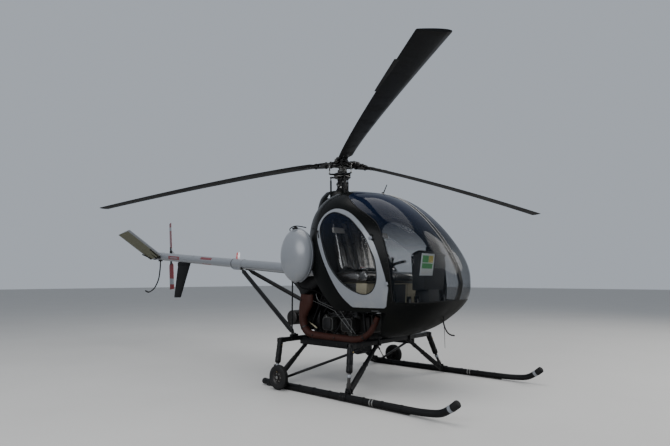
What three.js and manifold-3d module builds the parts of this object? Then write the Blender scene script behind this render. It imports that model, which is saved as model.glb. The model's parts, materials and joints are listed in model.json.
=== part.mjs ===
// Light two-seat helicopter on skids, with an open engine bay and a slim tail boom.
// Millimetres, +Z up, nose towards +X, port side towards +Y.
// Everything is drawn about the rotor mast (x = 0, y = 0) with the ground at z = 0,
// and the whole aircraft is then moved so that the origin is under the middle of its box.
import * as THREE from 'three';
import { mergeVertices } from 'three/addons/utils/BufferGeometryUtils.js';
import Module from 'manifold-3d';

const wasm = await Module();
wasm.setup();

// Driving dimensions
const gap = 0.3;
const sides = [['starboard', -1], ['port', 1]];

const rotor = {
  radius: 4090, hubHeight: 2655, headTop: 2700, chord: 171, thickness: 25, rootRadius: 420, armReach: 330,
  tipDroop: 361, droopPower: 1.3, azimuths: [199.2, 316.1, 74.1],
};
const tailRotor = {
  x: -4643, y: 328, z: 1620, radius: 648, chord: 118, thickness: 16, rootRadius: 95, tilt: 7.3, pitch: 27,
};
const mast = { radius: 44, bottom: 1095, top: 2603, sleeveRadius: 60, sleeveBottom: 2000, sleeveTop: 2450 };
const swash = { fixedLow: 2462, fixedHigh: 2490, turningLow: 2498, turningHigh: 2522, radius: 112, bore: 52 };
const fairing = {
  x: -85, bottom: 2040, top: 2290, lowHalf: [305, 190], topHalf: [190, 108], facets: 20,
  slotRadius: 36, slotX: -215, slotZ: 2238,
};
const boom = { frontX: -330, rearX: -4570, frontZ: 1270, rearZ: 1603, radius: 70, wall: 3 };
const skid = {
  y: 995, radius: 31, height: 39, rearX: -300, bendX: 1700, tipX: 2073, tipHeight: 173, soleDepth: 8,
};
const wheel = { x: 23, y: 1082, z: 130, radius: 128, width: 62 };
const frame = {
  frontX: 762, frontZ: 486, aftX: -288, aftZ: 466, crossHalf: 745, beamY: 405, beamWidth: 50, beamBottom: 395,
  beamTop: 470,
};
const engine = { rear: -110, front: 560, halfWidth: 150, bottom: 530, top: 775, cylinderEnd: 338 };
const cabin = { wall: 20, glass: 6, squareness: 2.9, facets: 26, stripHalf: 38, doorGap: 6, panTop: 900 };
const hinge = {
  low: [1130, 600, 1066], high: [905, 630, 1666], places: [0.1, 0.9], knuckle: 46, radius: 8, leaf: 62,
  postLeaf: 28, leafDepth: 8, doorSeat: 22, postSeat: 44,
};
const seat = { front: 790, back: 340, halfWidth: 545, backHalf: 480, baseTop: 1130, cushionTop: 1262 };

// Cabin sections from tail to nose: x, top, bottom, half width
const cabinSections = [
  [-270, 1700, 1450, 300],
  [-245, 1860, 1290, 350],
  [-200, 1970, 1160, 400],
  [-80, 2120, 960, 500],
  [100, 2215, 700, 595],
  [300, 2238, 560, 645],
  [550, 2205, 512, 660],
  [800, 2140, 513, 650],
  [1020, 2015, 562, 610],
  [1220, 1840, 643, 560],
  [1390, 1640, 755, 500],
  [1510, 1460, 860, 425],
  [1585, 1310, 965, 300],
  [1615, 1205, 1060, 150],
];

// Engine bay under the slanted firewall, the cabin floor and the belly's rear bulkhead: x, z
const bayOutline = [
  [-400, 1612], [390, 822], [1040, 822], [870, 595], [700, 470], [600, 200], [-400, 200],
];

// Bulkhead behind the seats, from the roof down to the cabin floor: x, z
const bulkheadOutline = [[62, 2300], [80, 2300], [400, 835], [382, 820], [300, 925]];

// Door edge in side view, from the rear bottom corner forward and round: x, z
const doorBottom = [[665, 871], [1035, 871]];
const doorEdge = [
  [1062, 890], [1104, 1066], [1090, 1126], [1046, 1290], [963, 1521], [870, 1666], [741, 1803],
  [575, 1917], [387, 1970], [235, 1927], [134, 1819], [116, 1717], [146, 1586], [280, 1334],
  [486, 1027], [640, 884],
];
const doorWindow = [
  [384, 1926], [243, 1884], [178, 1780], [194, 1676], [310, 1400], [428, 1235], [577, 1107],
  [730, 1031], [841, 1010], [928, 1050], [980, 1170], [966, 1352], [916, 1476], [840, 1620],
  [735, 1737], [597, 1847],
];

// Windscreen edge in side view, from the roof down the door post and along the sill: x, z
const screenEdge = [
  [455, 2400], [462, 2120], [577, 2030], [722, 1930], [946, 1773], [1049, 1574], [1111, 1345],
  [1139, 1111], [1144, 940],
];
const screenSill = [[1308, 930], [1476, 938], [1572, 952], [1750, 985]];
const screenCorner = [1750, 2400];

const paint = {
  black: { color: 0x15171a, roughness: 0.18, metalness: 0.0 },
  white: { color: 0xd8dadb, roughness: 0.35, metalness: 0.0 },
  red: { color: 0xa3211d, roughness: 0.4, metalness: 0.0 },
  shroud: { color: 0x6e2a1c, roughness: 0.55, metalness: 0.0 },
  gear: { color: 0x101114, roughness: 0.45, metalness: 0.2 },
  steel: { color: 0x8b8d90, roughness: 0.35, metalness: 1.0 },
  alloy: { color: 0x777a7c, roughness: 0.5, metalness: 0.9 },
  rubber: { color: 0x151515, roughness: 0.85, metalness: 0.0 },
  leather: { color: 0x1b1a19, roughness: 0.55, metalness: 0.0 },
  beige: { color: 0x8a8472, roughness: 0.6, metalness: 0.0 },
  glass: { color: 0x1d242c, roughness: 0.03, metalness: 0.0, transparent: true, opacity: 0.35 },
};

// Solid helpers
function solid(geometry) {
  const bare = geometry.clone();
  for (const name of Object.keys(bare.attributes)) {
    if (name !== 'position') bare.deleteAttribute(name);
  }
  const merged = mergeVertices(bare, 1e-4);
  const mesh = new wasm.Mesh({
    numProp: 3,
    vertProperties: new Float32Array(merged.attributes.position.array),
    triVerts: new Uint32Array(merged.index.array),
  });
  return new wasm.Manifold(mesh);
}

function geometryOf(shape) {
  const mesh = shape.getMesh();
  const geometry = new THREE.BufferGeometry();
  geometry.setAttribute('position', new THREE.BufferAttribute(new Float32Array(mesh.vertProperties), 3));
  geometry.setIndex(new THREE.BufferAttribute(new Uint32Array(mesh.triVerts), 1));
  geometry.computeVertexNormals();
  return geometry;
}

function join(...shapes) {
  return shapes.reduce((whole, shape) => whole.add(shape));
}

function cut(shape, ...tools) {
  return tools.reduce((rest, tool) => rest.subtract(tool), shape);
}

function box(xLow, xHigh, yLow, yHigh, zLow, zHigh) {
  const geometry = new THREE.BoxGeometry(xHigh - xLow, Math.abs(yHigh - yLow), zHigh - zLow);
  geometry.translate((xLow + xHigh) / 2, (yLow + yHigh) / 2, (zLow + zHigh) / 2);
  return solid(geometry);
}

function rod(from, to, radius, facets = 10, endRadius = radius) {
  const start = new THREE.Vector3(...from);
  const run = new THREE.Vector3(...to).sub(start);
  const geometry = new THREE.CylinderGeometry(endRadius, radius, run.length(), facets);
  const turn = new THREE.Quaternion().setFromUnitVectors(new THREE.Vector3(0, 1, 0), run.clone().normalize());
  geometry.applyQuaternion(turn);
  const middle = start.addScaledVector(run, 0.5);
  geometry.translate(middle.x, middle.y, middle.z);
  return solid(geometry);
}

function bentTube(points, radius, facets = 8, steps = 24) {
  const route = points.map((point) => new THREE.Vector3(...point));
  const path = new THREE.CatmullRomCurve3(route, false, 'centripetal');
  const ring = new THREE.Shape();
  for (let index = 0; index < facets; index += 1) {
    const angle = (index / facets) * Math.PI * 2;
    const place = [radius * Math.cos(angle), radius * Math.sin(angle)];
    if (index === 0) ring.moveTo(...place);
    else ring.lineTo(...place);
  }
  ring.closePath();
  return solid(new THREE.ExtrudeGeometry(ring, { steps, bevelEnabled: false, extrudePath: path }));
}

function plate(points, yLow, yHigh) {
  const shape = new THREE.Shape(points.map(([x, z]) => new THREE.Vector2(x, z)));
  const geometry = new THREE.ExtrudeGeometry(shape, { depth: yHigh - yLow, bevelEnabled: false, steps: 1 });
  geometry.rotateX(Math.PI / 2);
  geometry.translate(0, yHigh, 0);
  return solid(geometry);
}

function loft(rings) {
  const count = rings[0].length;
  const positions = rings.flat(2);
  const triangles = [];
  for (let ring = 0; ring < rings.length - 1; ring += 1) {
    for (let spot = 0; spot < count; spot += 1) {
      const a = ring * count + spot;
      const b = ring * count + ((spot + 1) % count);
      triangles.push(a, b, b + count, a, b + count, a + count);
    }
  }
  const last = (rings.length - 1) * count;
  for (let spot = 1; spot < count - 1; spot += 1) {
    triangles.push(0, spot + 1, spot);
    triangles.push(last, last + spot, last + spot + 1);
  }
  const geometry = new THREE.BufferGeometry();
  geometry.setAttribute('position', new THREE.Float32BufferAttribute(positions, 3));
  geometry.setIndex(triangles);
  const shape = solid(geometry);
  if (shape.volume() > 0) return shape;
  geometry.setIndex(triangles.toReversed());
  return solid(geometry);
}

function smoothLoop(points, count) {
  const path = new THREE.SplineCurve([...points, points[0]].map(([x, z]) => new THREE.Vector2(x, z)));
  return path.getSpacedPoints(count).slice(0, count).map((point) => [point.x, point.y]);
}

function smoothRun(points, count) {
  const path = new THREE.SplineCurve(points.map(([x, z]) => new THREE.Vector2(x, z)));
  return path.getSpacedPoints(count).map((point) => [point.x, point.y]);
}

// Moves a closed outline outwards (or inwards, for a negative distance).
function offsetOutline(points, distance) {
  const area = points.reduce((sum, [x, z], index) => {
    const [nextX, nextZ] = points[(index + 1) % points.length];
    return sum + x * nextZ - nextX * z;
  }, 0);
  const out = Math.sign(area) * distance;
  return points.map(([x, z], index) => {
    const [beforeX, beforeZ] = points[(index + points.length - 1) % points.length];
    const [afterX, afterZ] = points[(index + 1) % points.length];
    const arriving = new THREE.Vector2(x - beforeX, z - beforeZ).normalize();
    const leaving = new THREE.Vector2(afterX - x, afterZ - z).normalize();
    const run = arriving.clone().add(leaving).normalize();
    const reach = out / Math.max(run.dot(leaving), 0.5);
    return [x + run.y * reach, z - run.x * reach];
  });
}

// The model: a list of named pieces, each cut clear of the ones that it touches
const aircraft = new THREE.Group();

function piece(name, shape, finish) {
  const material = new THREE.MeshStandardMaterial(finish);
  const mesh = new THREE.Mesh(geometryOf(shape), material);
  mesh.name = name;
  aircraft.add(mesh);
}

function mirrored(point, side) {
  return [point[0], point[1] * side, point[2]];
}

// Cabin
function cabinLoft(inset) {
  const { facets } = cabin;
  const low = cabinSections[0][0];
  const high = cabinSections.at(-1)[0];
  const middle = (low + high) / 2;
  const shrink = (high - low - 2 * inset) / (high - low);
  const rings = cabinSections.map(([x, top, bottom, half]) => {
    const centre = (top + bottom) / 2;
    const ring = [];
    for (let spot = 0; spot < facets; spot += 1) {
      const angle = ((spot + 0.5) / facets) * Math.PI * 2;
      const across = Math.cos(angle);
      const upward = Math.sin(angle);
      const bulge = 2 / cabin.squareness;
      const y = Math.sign(across) * Math.abs(across) ** bulge * (half - inset);
      const z = centre + Math.sign(upward) * Math.abs(upward) ** bulge * ((top - bottom) / 2 - inset);
      ring.push([middle + (x - middle) * shrink, y, z]);
    }
    return ring;
  });
  return loft(rings);
}

// Door hinges: two knuckles on one slanted line, with a leaf forward on the post and one aft on the door.
// A leaf is drawn along the pin, across it towards the nose, and outboard.
function hingeLeaves(side, towardsTail) {
  const low = new THREE.Vector3(...mirrored(hinge.low, side));
  const high = new THREE.Vector3(...mirrored(hinge.high, side));
  const pin = high.clone().sub(low).normalize();
  const outboard = new THREE.Vector3(0, side, 0).addScaledVector(pin, -pin.y * side).normalize();
  const across = new THREE.Vector3().crossVectors(outboard, pin).normalize();
  if (across.x * towardsTail > 0) across.negate();
  const solids = [];
  for (const share of hinge.places) {
    const centre = low.clone().lerp(high, share);
    const bar = (pinLow, pinHigh, acrossLow, acrossHigh, depth) => {
      const geometry = new THREE.BoxGeometry(pinHigh - pinLow, acrossHigh - acrossLow, depth);
      geometry.translate((pinLow + pinHigh) / 2, (acrossLow + acrossHigh) / 2, -depth / 2);
      const basis = new THREE.Matrix4().makeBasis(pin, across, outboard).setPosition(centre);
      geometry.applyMatrix4(basis);
      const shape = solid(geometry);
      if (shape.volume() > 0) return shape;
      geometry.index.array.reverse();
      return solid(geometry);
    };
    const half = hinge.knuckle / 2;
    const barrel = (from, to) => rod(
      centre.clone().addScaledVector(pin, from).toArray(), centre.clone().addScaledVector(pin, to).toArray(),
      hinge.radius, 10,
    );
    const { postLeaf, leaf, leafDepth, doorSeat, postSeat } = hinge;
    if (towardsTail > 0) {
      solids.push(join(
        barrel(-half, half), bar(-half, half, 0, leaf, leafDepth), bar(-half, half, postLeaf, leaf, doorSeat),
      ));
    } else {
      const end = hinge.knuckle;
      solids.push(join(
        barrel(half + gap, end), barrel(-end, -half - gap),
        bar(half + gap, end, 0, postLeaf, leafDepth), bar(-end, -half - gap, 0, postLeaf, leafDepth),
        bar(-end, end, hinge.radius + 2, postLeaf, postSeat),
      ));
    }
  }
  return solids;
}

const farSide = 1000;
const cabinOuter = cabinLoft(0);
const cabinInner = cabinLoft(cabin.wall);
const glassInner = cabinLoft(cabin.glass);
const skin = cabinOuter.subtract(cabinInner);
const glassSkin = cabinOuter.subtract(glassInner);

const doorOutline = [...doorBottom, ...smoothRun(doorEdge, 34)];
const windowOutline = smoothLoop(doorWindow, 30);
const screenOutline = [...smoothRun(screenEdge.slice(1), 12), ...screenSill, screenCorner, screenEdge[0]];

function sidePrism(outline, side, inboard) {
  return side < 0 ? plate(outline, -farSide, -inboard) : plate(outline, inboard, farSide);
}

const doorInboard = 250;
const windowInboard = 200;
const bay = plate(bayOutline, -farSide, farSide);
const bayWall = plate(offsetOutline(bayOutline, cabin.wall), -farSide, farSide);
const cabinRoom = cabinInner.subtract(bayWall);
const roomClear = cabinLoft(cabin.wall + gap)
  .subtract(plate(offsetOutline(bayOutline, cabin.wall + gap), -farSide, farSide));
const cabinClear = cabinLoft(-gap).subtract(plate(offsetOutline(bayOutline, -gap), -farSide, farSide));

// Rotor mast: a shaft inside a fixed sleeve
function mastSolid(grow) {
  return join(
    rod([0, 0, mast.bottom - grow], [0, 0, mast.top], mast.radius + grow, 16),
    rod([0, 0, mast.sleeveBottom - grow], [0, 0, mast.sleeveTop + grow], mast.sleeveRadius + grow, 16),
  );
}

// The shell is a belly pan and a canopy frame that meet level with the cabin floor
let shell = cabinOuter.subtract(cabinRoom).subtract(bay).subtract(mastSolid(gap));
for (const [, side] of sides) {
  shell = shell.subtract(sidePrism(offsetOutline(doorOutline, cabin.doorGap), side, doorInboard));
  shell = join(shell, ...hingeLeaves(side, -1));
  shell = shell.subtract(sidePrism(screenOutline, side, cabin.stripHalf));
}
const tall = 3000;
const panSpace = box(-tall, tall, -farSide, farSide, 0, cabin.panTop);
const frameSpace = box(-tall, tall, -farSide, farSide, cabin.panTop + gap, tall);
piece('belly_pan', shell.intersect(panSpace), paint.black);
piece('canopy_frame', shell.intersect(frameSpace), paint.black);
piece('seat_bulkhead', plate(bulkheadOutline, -farSide, farSide).intersect(roomClear), paint.gear);

for (const [name, side] of sides) {
  const screenPrism = sidePrism(offsetOutline(screenOutline, -gap), side, cabin.stripHalf + gap);
  piece(`windscreen_${name}`, glassSkin.intersect(screenPrism), paint.glass);
  const door = skin.intersect(sidePrism(doorOutline, side, doorInboard));
  const ring = door.subtract(sidePrism(windowOutline, side, windowInboard));
  piece(`door_${name}`, join(ring, ...hingeLeaves(side, 1)), paint.white);
  const pane = glassSkin.intersect(sidePrism(offsetOutline(windowOutline, -gap), side, doorInboard));
  piece(`door_glass_${name}`, pane, paint.glass);
}

// Mast fairing: a cowl round the mast on the roof, open at the rear on both sides
function ovalRing([halfLength, halfWidth], z, middle, facets) {
  const ring = [];
  for (let spot = 0; spot < facets; spot += 1) {
    const angle = (spot / facets) * Math.PI * 2;
    ring.push([middle + halfLength * Math.cos(angle), halfWidth * Math.sin(angle), z]);
  }
  return ring;
}
const slots = sides.map(([, side]) => rod(
  [fairing.slotX + 300, -260 * side, fairing.slotZ], [fairing.slotX - 300, 260 * side, fairing.slotZ],
  fairing.slotRadius, 3,
));
const cowl = loft([
  ovalRing(fairing.lowHalf, fairing.bottom, fairing.x, fairing.facets),
  ovalRing(fairing.topHalf, fairing.top, fairing.x, fairing.facets),
]);
piece('mast_fairing', cut(cowl, cabinClear, mastSolid(gap), ...slots), paint.black);

const pitotPath = [[1330, 120, 740], [1350, 120, 662], [1378, 120, 604], [1416, 120, 575], [1466, 120, 570]];
const pitotRadius = 8;
piece('pitot_tube', bentTube(pitotPath, pitotRadius, 6, 10).subtract(cabinClear), paint.steel);

// Seat, controls and instruments
const floor = bayOutline[1][1] + cabin.wall + gap;
const baseOutline = [
  [404, floor], [seat.front - 40, floor], [seat.front - 20, seat.baseTop], [seat.back, seat.baseTop],
];
const baseHalf = seat.halfWidth - 40;
piece('seat_base', plate(baseOutline, -baseHalf, baseHalf).intersect(roomClear), paint.beige);
const cushionOutline = [
  [seat.back + 6, seat.baseTop + gap], [seat.front, seat.baseTop + gap], [seat.front + 20, 1195],
  [seat.front - 20, seat.cushionTop], [seat.back - 22, seat.cushionTop - 20],
];
piece('seat_cushion', plate(cushionOutline, -seat.halfWidth, seat.halfWidth), paint.leather);
const backOutline = [
  [seat.back - 22, 1243], [seat.back + 100, 1264], [270, 1840], [225, 1880], [180, 1862],
];
piece('seat_back', plate(backOutline, -seat.backHalf, seat.backHalf), paint.leather);

const consoleOutline = [
  [1130, 560], [1330, 560], [1300, 1060], [1345, 1330], [1330, 1430], [1270, 1470], [1170, 1440],
  [1150, 1060],
];
const consoleNarrow = { top: 1060, half: 120, headHalf: 215 };
const consoleShape = join(
  plate(consoleOutline, -consoleNarrow.half, consoleNarrow.half),
  plate(consoleOutline, -consoleNarrow.headHalf, consoleNarrow.headHalf)
    .subtract(box(0, tall, -farSide, farSide, 0, consoleNarrow.top)),
);
piece('instrument_console', consoleShape.intersect(roomClear), paint.gear);

// A control stick for each seat, bent back from the floor towards the pilot
const stick = {
  y: 300, radius: 12, path: [[1010, floor - 8], [1000, 1000], [960, 1180], [955, 1290], [975, 1400]],
};
for (const [name, side] of sides) {
  const run = stick.path.map(([x, z]) => [x, stick.y * side, z]);
  piece(`control_stick_${name}`, bentTube(run, stick.radius, 8, 14).intersect(roomClear), paint.gear);
}

// Engine in its open bay, and its exhaust
const bearers = [20, 480];
const cylinder = {
  places: [40, 330], z: 640, radius: 60, fins: 5, firstFin: 172, finPitch: 33, finThickness: 12, finHalf: 84,
  finRise: 78, seated: 10,
};
const engineFoot = { half: 25, reach: 120, seated: 5 };
const engineSolids = [
  box(engine.rear, engine.front, -engine.halfWidth, engine.halfWidth, engine.bottom, engine.top),
  ...bearers.map((x) => box(
    x - engineFoot.half, x + engineFoot.half, -engineFoot.reach, engineFoot.reach,
    frame.beamTop + gap, engine.bottom + engineFoot.seated,
  )),
];
for (const x of cylinder.places) {
  const { z, radius, finHalf, finRise } = cylinder;
  for (const [, side] of sides) {
    const foot = [x, (engine.halfWidth - cylinder.seated) * side, z];
    engineSolids.push(rod(foot, [x, engine.cylinderEnd * side, z], radius, 12));
    for (let fin = 0; fin < cylinder.fins; fin += 1) {
      const y = (cylinder.firstFin + fin * cylinder.finPitch) * side;
      const finEnd = y + cylinder.finThickness * side;
      engineSolids.push(box(x - finHalf, x + finHalf, y, finEnd, z - finRise, z + finRise));
    }
  }
}
piece('engine_block', join(...engineSolids), paint.alloy);

const muffler = { x: -620, z: 678, half: 290, radius: 92, pipeY: 60, pipeRise: 10, pipeRadius: 24 };
const mufflerPipes = sides.map(([, side]) => {
  const [y, z] = [muffler.pipeY * side, muffler.z + muffler.pipeRise];
  return rod([muffler.x, y, z], [engine.rear - gap, y, z], muffler.pipeRadius, 8);
});
const mufflerEnds = [-muffler.half, muffler.half].map((y) => [muffler.x, y, muffler.z]);
const mufflerCan = rod(...mufflerEnds, muffler.radius, 12);
piece('exhaust_muffler', join(mufflerCan, ...mufflerPipes), paint.steel);

// Gear case that the mast stands on: a round housing, a head that reaches back to the boom, a body below
const gearHousing = {
  half: 85, round: { radius: 96, low: 930, top: 1180 }, head: { front: 20, low: 1115, top: 1290 },
  body: { rear: -190, front: 30, low: 960, top: 1130 },
};
function gearCase(grow) {
  const { round, head, body } = gearHousing;
  const half = gearHousing.half + grow;
  return join(
    rod([0, 0, round.low - grow], [0, 0, round.top + grow], round.radius + grow, 14),
    box(boom.frontX - grow, head.front, -half, half, head.low - grow, head.top + grow),
    box(body.rear - grow, body.front, -half, half, body.low - grow, body.top),
  );
}
piece('transmission', cut(gearCase(0), mastSolid(gap), cabinClear), paint.alloy);
piece('mast', mastSolid(0), paint.gear);

// Centre frame: cross beams, side beams, engine bearers and the uprights to the cabin and gear case
const bearerBeam = { half: 18, reach: 410, depth: 40 };
// Uprights and stays on each side: foot and top
const frameTubes = [
  [[frame.aftX, 330, frame.aftZ], [-170, 70, 1150]],
  [[600, 300, frame.frontZ], [560, 300, 900]],
  [[590, 300, frame.frontZ], [frame.frontX, 300, frame.frontZ]],
];
const frameTubeRadius = 17;
function frameSolid(grow) {
  const half = frame.beamWidth / 2 + grow;
  const end = frame.crossHalf + grow;
  const beams = [
    box(frame.frontX - half, frame.frontX + half, -end, end, frame.frontZ - half, frame.frontZ + half),
    box(frame.aftX - half, frame.aftX + half, -end, end, frame.aftZ - half, frame.aftZ + half),
    ...bearers.map((x) => box(
      x - bearerBeam.half, x + bearerBeam.half, -bearerBeam.reach, bearerBeam.reach,
      frame.beamTop - bearerBeam.depth, frame.beamTop + grow,
    )),
  ];
  for (const [, side] of sides) {
    const inner = (frame.beamY - grow) * side;
    const outer = (frame.beamY + frame.beamWidth + grow) * side;
    beams.push(box(frame.aftX, frame.frontX, inner, outer, frame.beamBottom - grow, frame.beamTop + grow));
    for (const [foot, top] of frameTubes) {
      beams.push(rod(mirrored(foot, side), mirrored(top, side), frameTubeRadius + grow, 8));
    }
  }
  return join(...beams);
}
piece('centre_frame', cut(frameSolid(0), cabinClear, gearCase(gap)), paint.gear);
const frameClear = frameSolid(gap);

// Cooling shroud, a bent tube each side that stands on the side beam and tapers towards the nose
function taperedTube(stations, y, facets) {
  const path = new THREE.SplineCurve(stations.map(([x, z]) => new THREE.Vector2(x, z)));
  const steps = (stations.length - 1) * 4;
  const rings = [];
  for (let step = 0; step <= steps; step += 1) {
    const share = step / steps;
    const middle = path.getPoint(share);
    const along = path.getTangent(share);
    const place = share * (stations.length - 1);
    const before = Math.min(Math.floor(place), stations.length - 2);
    const radius = THREE.MathUtils.lerp(stations[before][2], stations[before + 1][2], place - before);
    const ring = [];
    for (let spot = 0; spot < facets; spot += 1) {
      const angle = (spot / facets) * Math.PI * 2;
      const out = radius * Math.cos(angle);
      ring.push([middle.x - along.y * out, y + radius * Math.sin(angle), middle.y + along.x * out]);
    }
    rings.push(ring);
  }
  return loft(rings);
}

const shroudY = frame.beamY + frame.beamWidth / 2;
// Stations from the rear top down and forward: x, z, radius
const shroudStations = [
  [-240, 985, 46], [-262, 800, 52], [-245, 620, 50], [-150, 526, 44], [60, 508, 40], [300, 506, 38],
  [590, 512, 36], [757, 600, 32], [865, 780, 30],
];
for (const [name, side] of sides) {
  const tube = taperedTube(shroudStations, shroudY * side, 10);
  piece(`engine_shroud_${name}`, cut(tube, cabinClear, frameClear), paint.shroud);
}

// Fuel tanks: name, side, middle x, y, z, half length, half width, half height
const tanks = [
  ['starboard', -1, -200, 600, 1455, 250, 140, 325],
  ['port', 1, -220, 590, 1450, 300, 160, 340],
];
const tankStrut = { footX: -280, radius: 9, reach: 60 };
for (const [name, side, x, y, z, halfLength, halfWidth, halfHeight] of tanks) {
  const ball = new THREE.SphereGeometry(1, 20, 12);
  ball.scale(halfLength, halfWidth, halfHeight);
  ball.translate(x, y * side, z);
  const shell = solid(ball).subtract(cabinClear);
  piece(`fuel_tank_${name}`, shell, paint.white);
  ball.translate(-x, -y * side, -z);
  ball.scale(1 + gap / halfLength, 1 + gap / halfWidth, 1 + gap / halfHeight);
  ball.translate(x, y * side, z);
  const low = [tankStrut.footX, y * side, frame.aftZ];
  const high = [x - 80, y * side, z - halfHeight + tankStrut.reach];
  piece(`tank_strut_${name}`, cut(rod(low, high, tankStrut.radius, 8), solid(ball), frameClear), paint.gear);
}

// Main rotor: head with three arms, each with its grip, its damper and the link that sets its blade's pitch.
// An arm's points run along the blade, across it towards the leading edge, and up from the head's centre.
const grip = { from: 150, half: 48, low: -42, high: 36 };
const lagDamper = {
  root: [70, -30, 12], start: [110, -88, 12], end: [280, -60, 12], radius: 27, lugRadius: 16,
};
const link = { top: [135, 100, -20], hornFrom: [170, 0, -20], radius: 9, hornRadius: 16, armRadius: 11 };
const headSize = { barrelRadius: 62, plateRadius: 108, plateLow: -34, plateHigh: 24, armRadius: 32 };
const headPlateLow = rotor.hubHeight + headSize.plateLow;
const swashBore = rod([0, 0, swash.fixedLow], [0, 0, headPlateLow], swash.bore, 16);
const head = [
  rod([0, 0, mast.top + gap], [0, 0, rotor.headTop], headSize.barrelRadius, 16),
  rod([0, 0, headPlateLow], [0, 0, rotor.hubHeight + headSize.plateHigh], headSize.plateRadius, 18),
  rod([0, 0, swash.turningLow], [0, 0, swash.turningHigh], swash.radius, 18).subtract(swashBore),
];
const linkFoot = (swash.turningLow + swash.turningHigh) / 2 - rotor.hubHeight;
for (const azimuth of rotor.azimuths) {
  const turn = THREE.MathUtils.degToRad(azimuth);
  const onArm = ([along, across, up]) => [
    along * Math.cos(turn) - across * Math.sin(turn), along * Math.sin(turn) + across * Math.cos(turn),
    rotor.hubHeight + up,
  ];
  const armRod = (from, to, radius, facets = 8) => rod(onArm(from), onArm(to), radius, facets);
  const block = new THREE.BoxGeometry(rotor.armReach - grip.from, 2 * grip.half, grip.high - grip.low);
  block.translate((rotor.armReach + grip.from) / 2, 0, rotor.hubHeight + (grip.high + grip.low) / 2);
  block.rotateZ(turn);
  const [linkAlong, linkAcross] = link.top;
  head.push(
    armRod([0, 0, 0], [rotor.armReach, 0, 0], headSize.armRadius, 10),
    solid(block),
    armRod(lagDamper.start, lagDamper.end, lagDamper.radius, 10),
    armRod(lagDamper.root, lagDamper.start, lagDamper.lugRadius),
    armRod(link.hornFrom, link.top, link.hornRadius),
    armRod(link.top, [linkAlong, linkAcross, linkFoot - 4], link.radius),
    armRod([0, 0, linkFoot], [linkAlong, linkAcross, linkFoot], link.armRadius).subtract(swashBore),
  );
}
piece('rotor_hub', join(...head), paint.gear);

// The lower swashplate stands still on three control rods
const controlRods = {
  places: [[-120, -85], [112, -88], [-14, 132]], radius: 9, armRadius: 12, armFrom: 0.6, foot: 2140,
};
const plateMiddle = (swash.fixedLow + swash.fixedHigh) / 2;
const fixedSolids = [rod([0, 0, swash.fixedLow], [0, 0, swash.fixedHigh], swash.radius, 18)];
for (const [x, y] of controlRods.places) {
  const start = [x * controlRods.armFrom, y * controlRods.armFrom, plateMiddle];
  fixedSolids.push(rod(start, [x, y, plateMiddle], controlRods.armRadius, 8));
  fixedSolids.push(rod([x, y, plateMiddle], [x, y, controlRods.foot], controlRods.radius, 8));
}
const cowlClear = loft([
  ovalRing(fairing.lowHalf.map((half) => half + gap), fairing.bottom, fairing.x, fairing.facets),
  ovalRing(fairing.topHalf.map((half) => half + gap), fairing.top + gap, fairing.x, fairing.facets),
]);
const shaftClear = rod([0, 0, mast.bottom], [0, 0, mast.top], mast.radius + gap, 16);
piece('swashplate', cut(join(...fixedSolids), shaftClear, cowlClear, cabinClear), paint.steel);

function bladeSection(place, drop) {
  const outline = [
    [0.5, 0], [0.42, 0.36], [0.2, 0.5], [-0.1, 0.4], [-0.5, 0.04], [-0.5, -0.04], [-0.1, -0.4], [0.2, -0.5],
    [0.42, -0.36],
  ];
  return outline.map(([across, up]) => [place, across * rotor.chord, up * rotor.thickness - drop]);
}

const bladeRoot = { end: rotor.rootRadius + 120, half: 42, low: -16, high: 14 };
for (const [index, azimuth] of rotor.azimuths.entries()) {
  const places = [rotor.rootRadius, 700, 1200, 1900, 2600, 3300, rotor.radius];
  const rings = places.map((place) => {
    const share = (place - rotor.rootRadius) / (rotor.radius - rotor.rootRadius);
    return bladeSection(place, rotor.tipDroop * share ** rotor.droopPower);
  });
  const fitting = box(
    rotor.armReach + gap, bladeRoot.end, -bladeRoot.half, bladeRoot.half, bladeRoot.low, bladeRoot.high,
  );
  const blade = join(loft(rings), fitting);
  const mesh = new THREE.Mesh(geometryOf(blade), new THREE.MeshStandardMaterial(paint.gear));
  mesh.name = `rotor_blade_${index + 1}`;
  mesh.position.set(0, 0, rotor.hubHeight);
  mesh.rotation.z = THREE.MathUtils.degToRad(azimuth);
  aircraft.add(mesh);
}

// Tail boom with its surfaces
function boomSolid(grow) {
  return rod([boom.frontX, 0, boom.frontZ], [boom.rearX, 0, boom.rearZ], boom.radius + grow, 20);
}
const boomClear = boomSolid(gap);
const slope = (boom.rearZ - boom.frontZ) / (boom.frontX - boom.rearX);
const past = 100;
const boomHollow = rod(
  [boom.frontX + past, 0, boom.frontZ - past * slope], [boom.rearX - past, 0, boom.rearZ + past * slope],
  boom.radius - boom.wall, 20,
);
piece('tail_boom', cut(boomSolid(0), boomHollow, gearCase(gap)), paint.white);

const tailHubSize = { inboard: 38, outboard: 40, radius: 42, spindle: 20, overlap: 20 };
const tailGear = { inboard: -60, outboard: 110, drop: 10, radius: 72, shaftFrom: 100, shaftRadius: 30 };
const tailCase = join(
  rod(
    [tailRotor.x, tailGear.inboard, tailRotor.z - tailGear.drop],
    [tailRotor.x, tailGear.outboard, tailRotor.z - tailGear.drop], tailGear.radius, 14,
  ),
  rod(
    [tailRotor.x, tailGear.shaftFrom, tailRotor.z],
    [tailRotor.x, tailRotor.y - tailHubSize.inboard - gap, tailRotor.z], tailGear.shaftRadius, 12,
  ),
);
piece('tail_gearbox', tailCase.subtract(boomClear), paint.alloy);

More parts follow.
